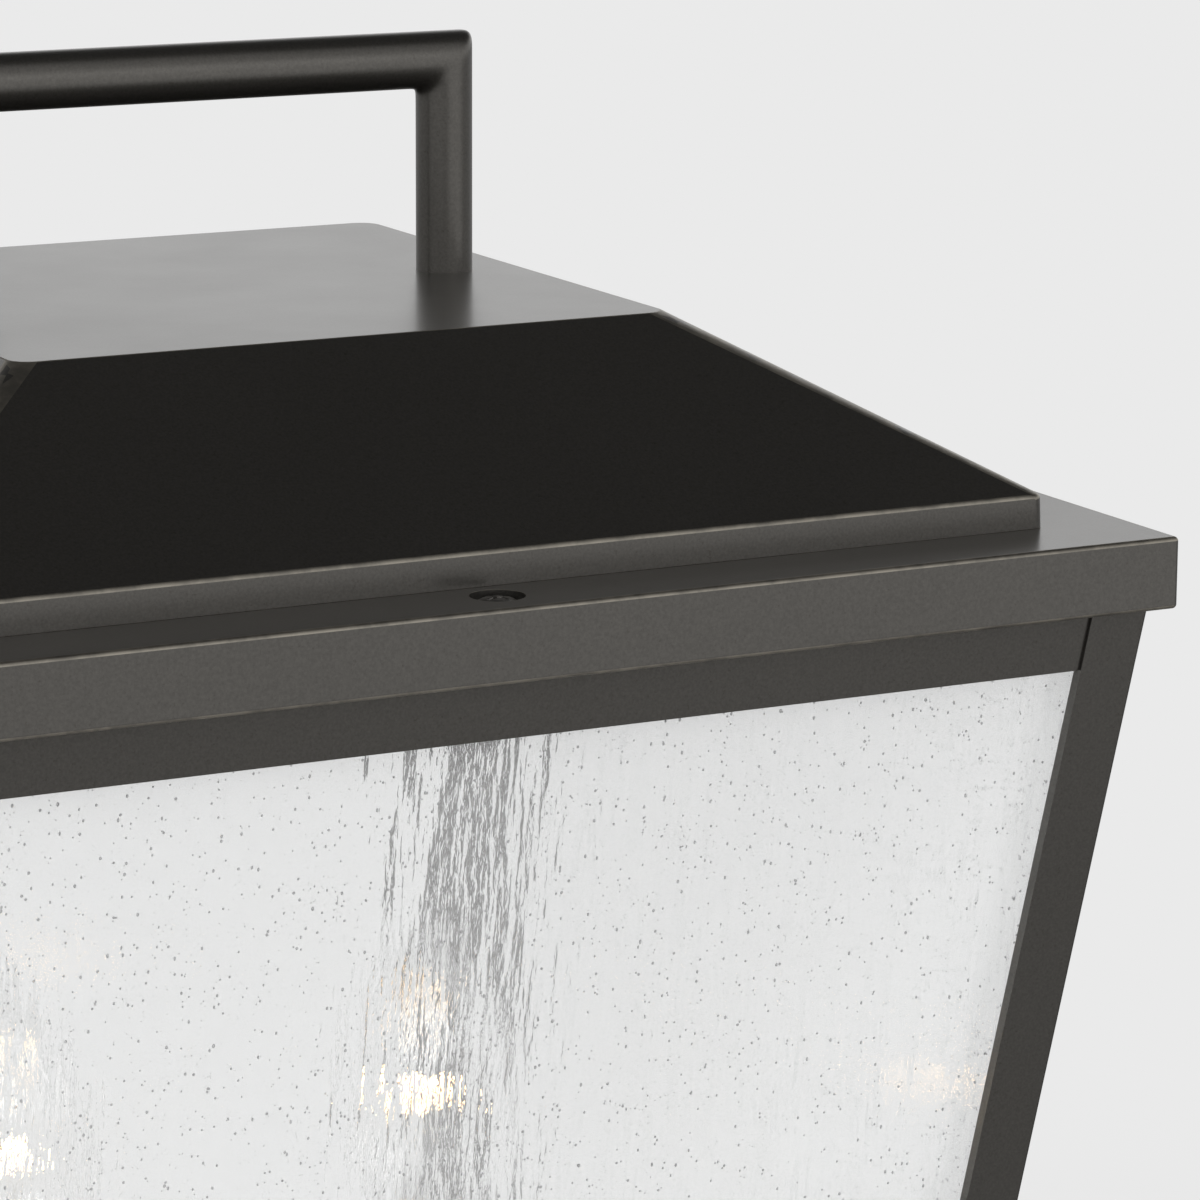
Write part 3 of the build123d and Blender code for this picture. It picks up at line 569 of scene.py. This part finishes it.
def screw_tree():
    """Cross-head screws on points: domed head, cross recess and a threaded shank."""
    tree = Tree(
        "cross_head_screws", Head_Radius="Float", Head_Height="Float", Shank_Radius="Float",
        Shank_Length="Float", Pitch="Float", Recess_Reach="Float", Recess_Width="Float",
        Recess_Depth="Float", Turn_Over="Float", Material="Material",
    )
    given = tree.given
    thread_depth = 0.28  # twice the share of the shank's radius
    disc = tree.node(
        "GeometryNodeMeshCone", {"fill_type": "NGON"}, Vertices=96, Side_Segments=36,
        Radius_Top=0.0, Radius_Bottom=given["Head Radius"], Depth=0.0,
    )["Mesh"]
    x, y, z = tree.node("SeparateXYZ", Vector=tree.node("GeometryNodeInputPosition")[0])
    squares = [tree.math("POWER", part, 2.0) for part in (x, y)]
    radius = tree.math("SQRT", tree.math("ADD", *squares))
    share = tree.math("POWER", tree.math("DIVIDE", radius, given["Head Radius"]), 3.0)
    dome = tree.math("SQRT", tree.math("MAXIMUM", tree.math("SUBTRACT", 1.0, share), 0.0))
    across, along = tree.math("ABSOLUTE", x), tree.math("ABSOLUTE", y)
    wall_foot = tree.math("MULTIPLY", given["Recess Width"], 1.5)
    reach_end = tree.math("MULTIPLY", given["Recess Reach"], 1.25)
    arms = []
    for thin, long in ((across, along), (along, across)):
        wall = tree.ease(thin, given["Recess Width"], wall_foot, 1.0, 0.0)
        end = tree.ease(long, given["Recess Reach"], reach_end, 1.0, 0.0)
        arms.append(tree.math("MULTIPLY", wall, end))
    sunk = tree.math("MULTIPLY", tree.math("MAXIMUM", *arms), given["Recess Depth"])
    height = tree.math("SUBTRACT", tree.math("MULTIPLY", dome, given["Head Height"]), sunk)
    head = tree.node(
        "GeometryNodeSetPosition", Geometry=disc, Offset=tree.vector(0.0, 0.0, height)
    )[0]
    rod = tree.node(
        "GeometryNodeMeshCylinder", {"fill_type": "NGON"}, Vertices=20, Side_Segments=72,
        Radius=given["Shank Radius"], Depth=given["Shank Length"],
    )["Mesh"]
    turn = tree.math("DIVIDE", tree.math("ARCTAN2", y, x), math.tau)
    climb = tree.math("DIVIDE", z, given["Pitch"])
    thread = tree.math("PINGPONG", tree.math("ADD", climb, turn), 0.5)
    keep = tree.math("SUBTRACT", 1.0, tree.math("MULTIPLY", thread, thread_depth))
    cut = tree.vector(tree.math("MULTIPLY", x, keep), tree.math("MULTIPLY", y, keep), z)
    threaded = tree.node("GeometryNodeSetPosition", Geometry=rod, Position=cut)[0]
    drop = tree.vector(0.0, 0.0, tree.math("MULTIPLY", given["Shank Length"], -0.5))
    shank = tree.node("GeometryNodeTransform", Geometry=threaded, Translation=drop)[0]
    screw = tree.node("GeometryNodeJoinGeometry", n0=head)[0]
    tree.put(screw.node, "n0", shank)
    spin = tree.node("GeometryNodeInputNamedAttribute", {"data_type": "FLOAT"}, Name="spin")[0]
    turned = tree.node(
        "FunctionNodeEulerToRotation", Euler=tree.vector(given["Turn Over"], 0.0, spin)
    )[0]
    screws = tree.node(
        "GeometryNodeInstanceOnPoints", Points=given["Geometry"], Instance=screw, Rotation=turned
    )[0]
    return tree.finish(screws, given["Material"])


def seed_tree():
    """Seeds scattered through a pane, closer together towards its head."""
    tree = Tree(
        "glass_seeds", Seeds="Float", Smallest="Float", Largest="Float", Stretch="Float",
        Depth="Float", Foot="Float", Head="Float", Random_Seed="Int", Material="Material",
    )
    given = tree.given
    level = tree.node("SeparateXYZ", Vector=tree.node("GeometryNodeInputPosition")[0])[2]
    crowd = tree.ease(level, given["Foot"], given["Head"], *SEED_CROWD)
    scatter = tree.node(
        "GeometryNodeDistributePointsOnFaces", {"distribute_method": "RANDOM"},
        Mesh=given["Geometry"], Density=tree.math("MULTIPLY", crowd, given["Seeds"]),
        Seed=given["Random Seed"],
    )

    def chance(offset):
        seed = tree.math("ADD", given["Random Seed"], float(offset))
        kind = {"data_type": "FLOAT"}
        return tree.node("FunctionNodeRandomValue", kind, n2=0.0, n3=1.0, Seed=seed)[1]

    either_way = tree.math("SUBTRACT", tree.math("MULTIPLY", chance(11), 2.0), 1.0)
    deep = tree.math("MULTIPLY", either_way, given["Depth"])
    shift = tree.node("VectorMath", {"operation": "SCALE"}, n0=scatter["Normal"], Scale=deep)[0]
    points = tree.node("GeometryNodeSetPosition", Geometry=scatter["Points"], Offset=shift)[0]
    mostly_small = tree.math("POWER", chance(23), 2.4)
    size = tree.spread(mostly_small, 0.0, 1.0, given["Smallest"], given["Largest"])
    drawn = tree.math("POWER", chance(37), 2.0)
    tall = tree.math("MULTIPLY", size, tree.spread(drawn, 0.0, 1.0, 1.0, given["Stretch"]))
    bubble = tree.node("GeometryNodeMeshUVSphere", Segments=4, Rings=3, Radius=1.0)["Mesh"]
    seeds = tree.node(
        "GeometryNodeInstanceOnPoints", Points=points, Instance=bubble,
        Scale=tree.vector(size, size, tall),
    )[0]
    return tree.finish(seeds, given["Material"])


# ---------- forms
def outward_of(low, high):
    """Way out of the lantern at a side piece with this box, and the way along that side."""
    middle = (low + high) / 2
    outward = Vector((round(middle.x, 3), round(middle.y, 3), 0)).normalized()
    return outward, UP.cross(outward)


def slab_corners(node):
    """Corners of a pane, as corners[foot or head][outer or inner][one end or the other]."""
    spots = [vertex.co.copy() for vertex in frame["nodes"][node].data.vertices]
    low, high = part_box(node)
    outward, along = outward_of(low, high)
    corners = []
    for height in (low.z, high.z):
        level = [spot for spot in spots if abs(spot.z - height) < LEVEL]
        corners.append([
            [
                max(level, key=lambda spot: face * spot.dot(outward) + 0.01 * end * spot.dot(along))
                for end in (-1, 1)
            ]
            for face in (1, -1)
        ])
    return corners, outward


def wavy_pane(node, ripple, columns=130, rows=48):
    """Closed pane whose two faces have upright waves that die out towards the edges."""
    corners, outward = slab_corners(node)
    across, upward, between = 95, 12, 40  # scale of the waves, and shift between the faces
    fade = 12
    bm = bmesh.new()
    faces = []
    for face, sign in ((0, 1.0), (1, -1.0)):
        grid = []
        for row in range(rows + 1):
            rise = row / rows
            foot, head = corners[0][face], corners[1][face]
            ends = [foot[end].lerp(head[end], rise) for end in (0, 1)]
            line = []
            for column in range(columns + 1):
                spot = ends[0].lerp(ends[1], column / columns)
                inset = min(rise, 1 - rise, min(column, columns - column) / columns)
                edge = min(1.0, fade * inset)
                level = spot.z * upward + between * face
                sample = Vector((spot.x * across, spot.y * across, level))
                wave = noise.noise(sample) + 0.5 * noise.noise(sample * 2.3)
                line.append(bm.verts.new(spot + outward * (sign * edge * ripple * wave)))
            grid.append(line)
        faces.append(grid)
    for grid, way in ((faces[0], 1), (faces[1], -1)):
        for low, high in zip(grid, grid[1:]):
            for first in range(columns):
                loop = [low[first], low[first + 1], high[first + 1], high[first]]
                bm.faces.new(loop[::way])
    outer, inner = [
        grid[0][:-1] + [line[-1] for line in grid[:-1]]
        + grid[-1][:0:-1] + [line[0] for line in grid[:0:-1]]
        for grid in faces
    ]
    for index, spot in enumerate(outer):
        after = (index + 1) % len(outer)
        bm.faces.new((outer[after], spot, inner[index], inner[after]))
    return bm


def rub_edges(bm, reach, width=0.0009, slant=0.15):
    """Gives narrow slanting faces, further out than reach, the second finish, which is the painted
    edge highlight.
    """
    for face in bm.faces:
        longest = max(edge.calc_length() for edge in face.edges)
        spot = face.calc_center_median()
        slanting = abs(face.normal.z) > slant
        narrow = face.calc_area() < width * longest
        if slanting and narrow and max(abs(spot.x), abs(spot.y)) > reach:
            face.material_index = 1


def ring_form():
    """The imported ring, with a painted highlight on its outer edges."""
    bm = merged_copy("cap_ring")
    rub_edges(bm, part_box("cap_ring")[1].x - 0.0015)
    return bm


def rail_form(node, step):
    """A packed rail with a face sheet between the posts, a small step behind their faces."""
    bm = merged_copy(node)
    low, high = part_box(node)
    outward, along = outward_of(low, high)
    spots = [vertex.co for vertex in frame["nodes"]["corner_post_front_right"].data.vertices]
    floor, roof = min(spot.z for spot in spots), max(spot.z for spot in spots)
    foot, head = [
        [spot.x for spot in spots if abs(spot.z - level) < LEVEL] for level in (floor, roof)
    ]
    flange = max(head) - min(head)
    corners = []
    for level in (low.z, high.z):
        share = (level - floor) / (roof - floor)
        reach = max(foot) + (max(head) - max(foot)) * share
        for depth in (step, RAIL_DEPTH):
            for end in (-1, 1):
                side = end * (reach - flange - SEAM)
                spot = outward * (reach - depth) + along * side + UP * level
                corners.append(bm.verts.new(spot))
    quads = ((0, 1, 5, 4), (2, 6, 7, 3), (0, 4, 6, 2), (1, 3, 7, 5), (0, 2, 3, 1), (4, 5, 7, 6))
    sheet = [bm.faces.new([corners[index] for index in quad]) for quad in quads]
    bmesh.ops.recalc_face_normals(bm, faces=sheet)
    return bm


def roof_form(lean):
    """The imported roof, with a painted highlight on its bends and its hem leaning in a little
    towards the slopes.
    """
    bm = merged_copy("roof_shell")
    rub_edges(bm, reach=0.07)
    low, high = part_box("roof_shell")
    bend = low.z + HEM_HEIGHT
    for vertex in bm.verts:
        level = vertex.co.z
        edge = low.z if level < bend else high.z
        vertex.co.xy *= 1 - (level - edge) / (bend - edge) * lean / high.x
    return bm


def handle_form(softening):
    """Bent rod: two legs and a bar with mitred corners, welded and ground round."""
    low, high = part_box("handle")
    rod = (high.y - low.y) / 2
    half_span = high.x - rod
    bar = high.z - rod
    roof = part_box("roof_shell")[1].z
    sides, straight_rings, corner_rings = 72, 24, 48
    reach = 0.014  # of the finer rings, from each corner
    weld, fade = 0.008, 0.002  # how far the softening reaches from each mitre, and its fade
    turns = [math.tau * step / sides for step in range(sides)]
    legs = ((-half_span, roof), (-half_span, bar), (half_span, bar), (half_span, roof))
    spots = [Vector((x, 0, z)) for x, z in legs]
    outs = (Vector((-1, 0, 0)), UP, Vector((1, 0, 0)))
    fine = [step / corner_rings for step in range(1, corner_rings + 1)]
    bm = bmesh.new()
    rings = []
    for number, (out, start, end) in enumerate(zip(outs, spots, spots[1:])):
        length = (end - start).length
        way = (end - start) / length
        first = reach if number else 0.0
        last = length - (reach if number < 2 else 0.0)
        # each station has its travel and how far it follows the mitre's slant
        stations = [(first * share, share - 1) for share in fine] if number else [(0.0, 0)]
        stations += [
            (first + (last - first) * step / straight_rings, 0)
            for step in range(1, straight_rings + 1)
        ]
        if number < 2:
            stations += [(last + share * (length - last), share) for share in fine]
        for travel, slant in stations:
            ring = []
            for turn in turns:
                aside = rod * math.cos(turn)
                offset = out * aside + Vector((0, rod * math.sin(turn), 0))
                ring.append(bm.verts.new(start + way * (travel + slant * aside) + offset))
            rings.append(ring)
    join_rings(bm, rings)
    # softest inside the bend, least on its outside
    inner = [1.0 - 0.44 * (1.0 + math.cos(turn)) for turn in turns]
    near = []
    for index, ring in enumerate(rings[1:-1], 1):
        for step, vertex in enumerate(ring):
            gap = abs(abs(vertex.co.x) - half_span - (vertex.co.z - bar)) / math.sqrt(2)
            if gap < weld and vertex.co.z > bar - 0.03:
                share = 0.9 * inner[step] * min(1.0, (weld - gap) / fade)
                near.append((vertex, share, rings[index - 1][step], rings[index + 1][step]))
    for _ in range(softening):
        softer = [
            vertex.co.lerp((before.co + after.co) / 2, share)
            for vertex, share, before, after in near
        ]
        for (vertex, *_rest), spot in zip(near, softer):
            vertex.co = spot
    stud, chamfer, foot, top = 0.003, 0.0005, low.z, roof + 0.0005
    profile = [(0, foot), (stud - chamfer, foot), (stud, foot + chamfer), (stud, top), (0, top)]
    for x in (-half_span, half_span):
        add_lathe(bm, profile, (x, 0))
    bmesh.ops.recalc_face_normals(bm, faces=bm.faces)
    return bm


def bezier(points, steps):
    """Points along the Bezier curve of the given control points."""
    line = []
    for step in range(steps + 1):
        spots = points
        while len(spots) > 1:
            spots = [first.lerp(second, step / steps) for first, second in zip(spots, spots[1:])]
        line.append(tuple(spots[0]))
    return line


def envelope_form(node):
    """Blown torpedo envelope: a thin glass wall, open at its neck."""
    low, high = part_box(node)
    tall = high.z - low.z
    neck, girth, wall = 0.006, 0.017, 0.0008
    lines = []
    for inset in (0, wall):
        profile = [
            (neck - inset, 0), (1.5 * girth - inset, 0.25 * tall),
            (1.2 * girth - inset, 0.62 * tall), (0.12 * girth, 0.93 * tall - inset),
            (0, tall - 2 * inset),
        ]
        lines.append(bezier([Vector((radius, low.z + level)) for radius, level in profile], 36))
    bm = bmesh.new()
    for line in (*lines, (lines[0][0], lines[1][0])):
        add_lathe(bm, line, (low + high) / 2, 72)
    bmesh.ops.remove_doubles(bm, verts=bm.verts, dist=1e-6)
    bmesh.ops.recalc_face_normals(bm, faces=bm.faces)
    return bm


def filament_form(node):
    """Glass mount, two lead wires and a coil bent into an arch."""
    low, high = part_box(node)
    x, y, _z = (low + high) / 2
    coil_room, headroom, mount_height, rise = 0.0008, 0.004, 0.020, 0.009
    half = (high.x - low.x) / 2 - coil_room
    foot, top = low.z, high.z - headroom
    mount = foot + mount_height
    shoulder = top - rise
    bm = bmesh.new()
    add_lathe(bm, [
        (0, foot), (0.0046, foot), (0.0040, foot + 0.003), (0.0026, foot + 0.008),
        (0.0021, foot + 0.013), (0.0022, mount - 0.001), (0.0014, mount), (0, mount + 0.0003),
    ], (x, y), material=1)
    for side in (-1, 1):
        wire = (
            (0.0011, mount - 0.002), (0.0013, mount + 0.002),
            (half * 0.8, (mount + shoulder) / 2 + 0.003), (half, shoulder),
        )
        add_tube(bm, [Vector((x + side * reach, y, z)) for reach, z in wire], 0.0003, 8, 2)
    turns, per_turn, coil = 34, 12, 0.00065
    points = []
    for step in range(turns * per_turn + 1):
        angle = math.pi * step / (turns * per_turn)
        z = shoulder + (rise - coil) * math.sin(angle)
        arch = Vector((x - half * math.cos(angle), y, z))
        along = Vector((half * math.sin(angle), 0, rise * math.cos(angle))).normalized()
        side = Vector((0, 1, 0))
        turn = math.tau * step / per_turn
        spoke = math.cos(turn) * side + math.sin(turn) * along.cross(side)
        points.append(arch + coil * spoke)
    add_tube(bm, points, 0.0002, 6, 0)
    return bm


# ---------- operators
class LanternOperator:
    """Common part of the lantern's operators."""

    bl_options = {"REGISTER", "UNDO"}

    def execute(self, context):
        self.build(context.scene.lantern_sizes, context.scene.lantern_finish)
        return {"FINISHED"}

    def material(self, make, *settings):
        """Makes a finish once; it is named after the function that makes it."""
        return bpy.data.materials.get(make.__name__) or make(*settings)


class LANTERN_OT_roof(LanternOperator, bpy.types.Operator):
    """Builds the hipped roof shell and the cap ring under it"""

    bl_idname = "lantern.roof"
    bl_label = "Roof and Ring"

    def build(self, sizes, finish):
        # the second finish is the painted edge highlight on the bends and edges
        pair = self.material(satin_bronze, finish), self.material(rubbed_bronze, finish)
        edge = sizes.edge_round
        dress("roof_shell", "roof", *pair, edge=edge, segments=3, form=roof_form(sizes.hem_lean))
        dress("cap_ring", "ring", *pair, edge=edge * FINE_EDGE, form=ring_form())


class LANTERN_OT_handle(LanternOperator, bpy.types.Operator):
    """Builds the rod handle with its ground welds"""

    bl_idname = "lantern.handle"
    bl_label = "Handle"

    def build(self, sizes, finish):
        bronze = self.material(satin_bronze, finish)
        mesh = mesh_from(handle_form(sizes.corner_round), "carry_handle", bronze, sharp=50)
        stand_for(add_object("carry_handle", mesh), "handle")


class LANTERN_OT_cage(LanternOperator, bpy.types.Operator):
    """Builds the posts, rails, tray, neck and fitter"""

    bl_idname = "lantern.cage"
    bl_label = "Cage and Fitter"

    def build(self, sizes, finish):
        bronze = self.material(satin_bronze, finish)
        edge = sizes.edge_round
        for corner in CORNERS:
            dress(f"corner_post_{corner}", f"post_{corner}", bronze, edge=edge)
        for side in SIDES:
            for node, name in (("top_rail", "head_rail"), ("bottom_rail", "foot_rail")):
                rail = f"{node}_{side}"
                form = rail_form(rail, sizes.rail_step)
                dress(rail, f"{name}_{side}", bronze, edge=edge, form=form)
        dress("base_tray", "tray", bronze)
        dress("neck", "flared_neck", bronze, edge=edge)
        dress("post_fitter", "fitter", bronze, edge=edge)


class LANTERN_OT_glass(LanternOperator, bpy.types.Operator):
    """Builds the wavy panes and the seeds in them"""

    bl_idname = "lantern.glass"
    bl_label = "Seeded Glass"

    def build(self, sizes, finish):
        glass, air = self.material(pane_glass, finish), self.material(seed_air, finish)
        group = seed_tree()
        for number, side in enumerate(SIDES):
            node, name = f"glass_{side}", f"pane_{side}"
            pane = add_object(name, mesh_from(wavy_pane(node, sizes.ripple), name, glass))
            stand_for(pane, node)
            levels, _outward = slab_corners(node)
            feet, heads = [
                [(outer + inner) / 2 for outer, inner in zip(*level)] for level in levels
            ]
            sheet = bpy.data.meshes.new(f"seed_sheet_{side}")
            loop = (*feet, *reversed(heads))
            sheet.from_pydata([tuple(spot) for spot in loop], [], [(0, 1, 2, 3)])
            seeds = grown(
                f"seeds_{side}", sheet, group, Seeds=sizes.seed_count,
                Smallest=sizes.seed_small, Largest=sizes.seed_large,
                Stretch=sizes.seed_stretch, Depth=SEED_DEPTH, Foot=feet[0].z, Head=heads[0].z,
                Random_Seed=FIRST_RANDOM_SEED + number, Material=air,
            )
            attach(seeds, BODY_OF[node])


class LANTERN_OT_screws(LanternOperator, bpy.types.Operator):
    """Builds the cross-head screws of the cap and of the glass clips"""

    bl_idname = "lantern.screws"
    bl_label = "Screws"

    def build(self, sizes, finish):
        group = screw_tree()
        low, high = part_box("cap_screws")
        head, rise = 0.0042, 0.0015
        line, seat = high.x - head, high.z - rise
        spots = [(0, -line, seat), (line, 0, seat), (0, line, seat), (-line, 0, seat)]
        cap = grown(
            "cap_screw_set", self.points(spots, (0.35, 1.1, 0.2, 0.8)), group,
            Head_Radius=head, Head_Height=rise, Shank_Radius=0.002, Shank_Length=seat - low.z,
            Pitch=0.0008, Recess_Reach=0.0021, Recess_Width=0.00042, Recess_Depth=0.001,
            Turn_Over=0.0, Material=self.material(satin_bronze, finish),
        )
        stand_for(cap, "cap_screws")
        low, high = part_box("clip_screws")
        rise = 0.0018
        seat = low.z + rise
        spots = [(x, y, seat) for x, y in self.screw_bodies("clip_screws")]
        spins = [0.5 * step for step in range(len(spots))]
        clip = grown(
            "clip_screw_set", self.points(spots, spins), group,
            Head_Radius=0.0029, Head_Height=rise, Shank_Radius=0.0015,
            Shank_Length=high.z - seat, Pitch=0.0006, Recess_Reach=0.0015,
            Recess_Width=0.00032, Recess_Depth=0.001, Turn_Over=math.pi,
            Material=self.material(zinc_plate),
        )
        stand_for(clip, "clip_screws")

    @staticmethod
    def points(spots, spins):
        mesh = bpy.data.meshes.new("screw_spots")
        mesh.from_pydata(spots, [], [])
        mesh.attributes.new("spin", "FLOAT", "POINT").data.foreach_set("value", list(spins))
        return mesh

    @staticmethod
    def screw_bodies(node):
        """Centres of the separate solids in a node."""
        bm = merged_copy(node)
        left, centres = set(bm.verts), []
        while left:
            heap, island = [left.pop()], []
            while heap:
                vertex = heap.pop()
                island.append(vertex.co.copy())
                for edge in vertex.link_edges:
                    other = edge.other_vert(vertex)
                    if other in left:
                        left.remove(other)
                        heap.append(other)
            lines = [[spot[way] for spot in island] for way in (0, 1)]
            centres.append(tuple((min(line) + max(line)) / 2 for line in lines))
        bm.free()
        return sorted(centres)


class LANTERN_OT_fittings(LanternOperator, bpy.types.Operator):
    """Builds the clips, nuts, washers, stem, lamp bar and set screws"""

    bl_idname = "lantern.fittings"
    bl_label = "Fittings"

    def build(self, sizes, finish):
        bronze, steel = self.material(satin_bronze, finish), self.material(zinc_plate)
        edge = sizes.edge_round * FITTING_EDGE
        fine = edge * FINE_EDGE
        for node in (
            "glass_clips", "stem", "stem_washer", "stem_nut", "socket_nuts", "handle_washers",
            "handle_nuts",
        ):
            dress(node, f"steel_{node}", steel, edge=fine)
        for node in (
            "column", "cluster_cup", "finial", "lamp_bar", "drip_cup_left", "drip_cup_right",
        ):
            dress(node, f"turned_{node}", bronze, edge=fine)
        for side in ("front", "right", "left"):
            dress(f"set_screw_{side}", f"thumb_screw_{side}", bronze, edge=edge)


class LANTERN_OT_candles(LanternOperator, bpy.types.Operator):
    """Builds the sockets, candle sleeves and bulbs"""

    bl_idname = "lantern.candles"
    bl_label = "Candles and Bulbs"

    def build(self, sizes, finish):
        black, ivory = self.material(phenolic), self.material(card_ivory, finish)
        rolled, clear = self.material(rolled_brass), self.material(blown_glass)
        glow, steel = self.material(lit_wire, finish), self.material(zinc_plate)
        for side in LAMPS:
            dress(f"socket_{side}", f"lamp_socket_{side}", black, edge=0.0003)
            dress(f"candle_sleeve_{side}", f"sleeve_{side}", ivory)
            dress(f"bulb_base_{side}", f"screw_base_{side}", rolled, edge=0.0002)
            node, name = f"bulb_glass_{side}", f"envelope_{side}"
            mesh = mesh_from(envelope_form(node), name, clear, sharp=60)
            stand_for(add_object(name, mesh), node)
            node, name = f"bulb_filament_{side}", f"filament_{side}"
            mesh = mesh_from(filament_form(node), name, glow, clear, steel)
            stand_for(add_object(name, mesh), node)


class LANTERN_OT_stage(LanternOperator, bpy.types.Operator):
    """Sets the floor, backdrop, lamps and camera"""

    bl_idname = "lantern.stage"
    bl_label = "Stage"

    def execute(self, context):
        stage = context.scene.lantern_stage
        self.floor(stage)
        self.world(context.scene, stage)
        self.lamps()
        self.camera(context.scene, stage)
        context.scene.view_settings.view_transform = "Standard"
        return {"FINISHED"}

    def floor(self, stage):
        """Wide pale floor that keeps the lantern's shadow and is darker in the metal's mirror."""
        shader = Shader("floor_paint")
        shader.material.cycles.emission_sampling = "NONE"
        place = shader.place()
        far = shader.node("VectorMath", {"operation": "LENGTH"}, n0=place)["Value"]
        way = shader.node("VectorMath", {"operation": "NORMALIZE"}, n0=place)[0]
        ahead, aside = shader.dot(way, FLOOR_BRIGHT_WAY), shader.dot(way, FLOOR_SIDE_WAY)
        ahead_tone = shader.ease(ahead, 0.78, 0.97, 0.4, 1.0)
        side_tone = shader.math("ADD", ahead_tone, shader.ease(aside, 0.7, 0.97, 0.0, 0.2))
        near_tone = shader.math("MULTIPLY", shader.ease(far, 0.8, 2.1, 0.42, 0.97), side_tone)
        mirrored = shader.node("Emission", Color=(1, 1, 1, 1), Strength=near_tone)[0]
        seen = shader.node("Emission", Color=rgba(stage.background), Strength=1.0)[0]
        mottle = shader.blend(
            shader.noise(place, 3.0, 2.0), (0.78, 0.78, 0.78, 1), (0.8, 0.8, 0.8, 1)
        )
        paint = shader.node("BsdfDiffuse", Color=mottle)[0]
        paths = shader.node("LightPath")
        seen_share = shader.ease(far, 0.3, 1.0, 0.72, 1.0)
        direct = shader.math("MULTIPLY", paths["Is Camera Ray"], seen_share)
        share = shader.math("MAXIMUM", direct, paths["Is Transmission Ray"])
        unseen = shader.mix(paths["Is Glossy Ray"], paint, mirrored)
        shader.surface(shader.mix(share, unseen, seen))
        bm = bmesh.new()
        bmesh.ops.create_grid(bm, x_segments=8, y_segments=8, size=FLOOR_HALF)
        add_object("floor", mesh_from(bm, "floor", shader.material))

    def world(self, scene, stage):
        """Pale backdrop, darker overhead where the metal mirrors it."""
        world = scene.world or bpy.data.worlds.new("backdrop")
        scene.world = world
        world.use_nodes = True
        world.cycles.sampling_method = "NONE"
        sky = Nodes(world.node_tree, "OutputWorld")
        way = sky.node("TexCoord")["Generated"]
        ramp = sky.ease(sky.node("SeparateXYZ", n0=way)[2], 0.2, 0.7, 0.98, 0.04)
        patch = sky.ease(sky.dot(way, SKY_BRIGHT_WAY), 0.78, 0.98, 0.0, 0.6)
        tone = sky.math("ADD", ramp, patch)
        mirrored = sky.node("Background", Color=(1, 1, 1, 1), Strength=tone)[0]
        seen = sky.node("Background", Color=rgba(stage.background), Strength=1.0)[0]
        paths = sky.node("LightPath")
        straight = sky.math("MAXIMUM", paths["Is Camera Ray"], paths["Is Transmission Ray"])
        sky.surface(sky.mix(straight, mirrored, seen))

    def lamps(self):
        """Soft boxes on the left, on the right and behind."""
        for name, place, size, power in SOFT_BOXES:
            light = bpy.data.lights.new(name, "AREA")
            light.energy = power
            light.size = size
            lamp = add_object(name, light)
            lamp.location = place
            lamp.rotation_euler = (LAMP_AIM - Vector(place)).to_track_quat("-Z", "Y").to_euler()
            lamp.visible_glossy = False

    def camera(self, scene, stage):
        camera = bpy.data.cameras.new("camera")
        camera.lens = stage.lens
        camera.sensor_width = 36
        camera.clip_start, camera.clip_end = 0.05, 200
        pitch, roll, yaw = stage.camera_turn
        ahead = Vector((-math.sin(yaw), math.cos(yaw), 0)) * math.cos(pitch) + UP * math.sin(pitch)
        right = Vector((math.cos(yaw), math.sin(yaw), 0))
        up = right.cross(ahead)
        turned = Matrix((
            right * math.cos(roll) + up * math.sin(roll),
            up * math.cos(roll) - right * math.sin(roll),
            -ahead,
        )).transposed()
        made = add_object("camera", camera)
        made.matrix_world = Matrix.Translation(stage.camera_place) @ turned.to_4x4()
        scene.camera = made


class LANTERN_PT_panel(bpy.types.Panel):
    """Lists the lantern's settings and steps"""

    bl_idname = "LANTERN_PT_panel"
    bl_label = "Lantern"
    bl_space_type = "VIEW_3D"
    bl_region_type = "UI"
    bl_category = "Lantern"

    def draw(self, context):
        for name in GROUPS:
            group = getattr(context.scene, name)
            box = self.layout.box()
            for key in group.__annotations__:
                box.prop(group, key)
        for operator in OPERATORS:
            self.layout.operator(operator.bl_idname)


GROUPS = {
    "lantern_sizes": LanternSizes, "lantern_finish": LanternFinish, "lantern_stage": LanternStage,
}
OPERATORS = (
    LANTERN_OT_roof, LANTERN_OT_handle, LANTERN_OT_cage, LANTERN_OT_glass, LANTERN_OT_screws,
    LANTERN_OT_fittings, LANTERN_OT_candles, LANTERN_OT_stage,
)
CLASSES = (*GROUPS.values(), *OPERATORS, LANTERN_PT_panel)


def register():
    for kind in CLASSES:
        bpy.utils.register_class(kind)
    for name, kind in GROUPS.items():
        setattr(bpy.types.Scene, name, bpy.props.PointerProperty(type=kind))


def unregister():
    for name in GROUPS:
        delattr(bpy.types.Scene, name)
    for kind in reversed(CLASSES):
        bpy.utils.unregister_class(kind)


def main():
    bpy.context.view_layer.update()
    register()
    bpy.ops.lantern.roof()
    bpy.ops.lantern.handle()
    bpy.ops.lantern.cage()
    bpy.ops.lantern.glass()
    bpy.ops.lantern.screws()
    bpy.ops.lantern.fittings()
    bpy.ops.lantern.candles()
    bpy.ops.lantern.stage()


if __name__ == "__main__":
    main()
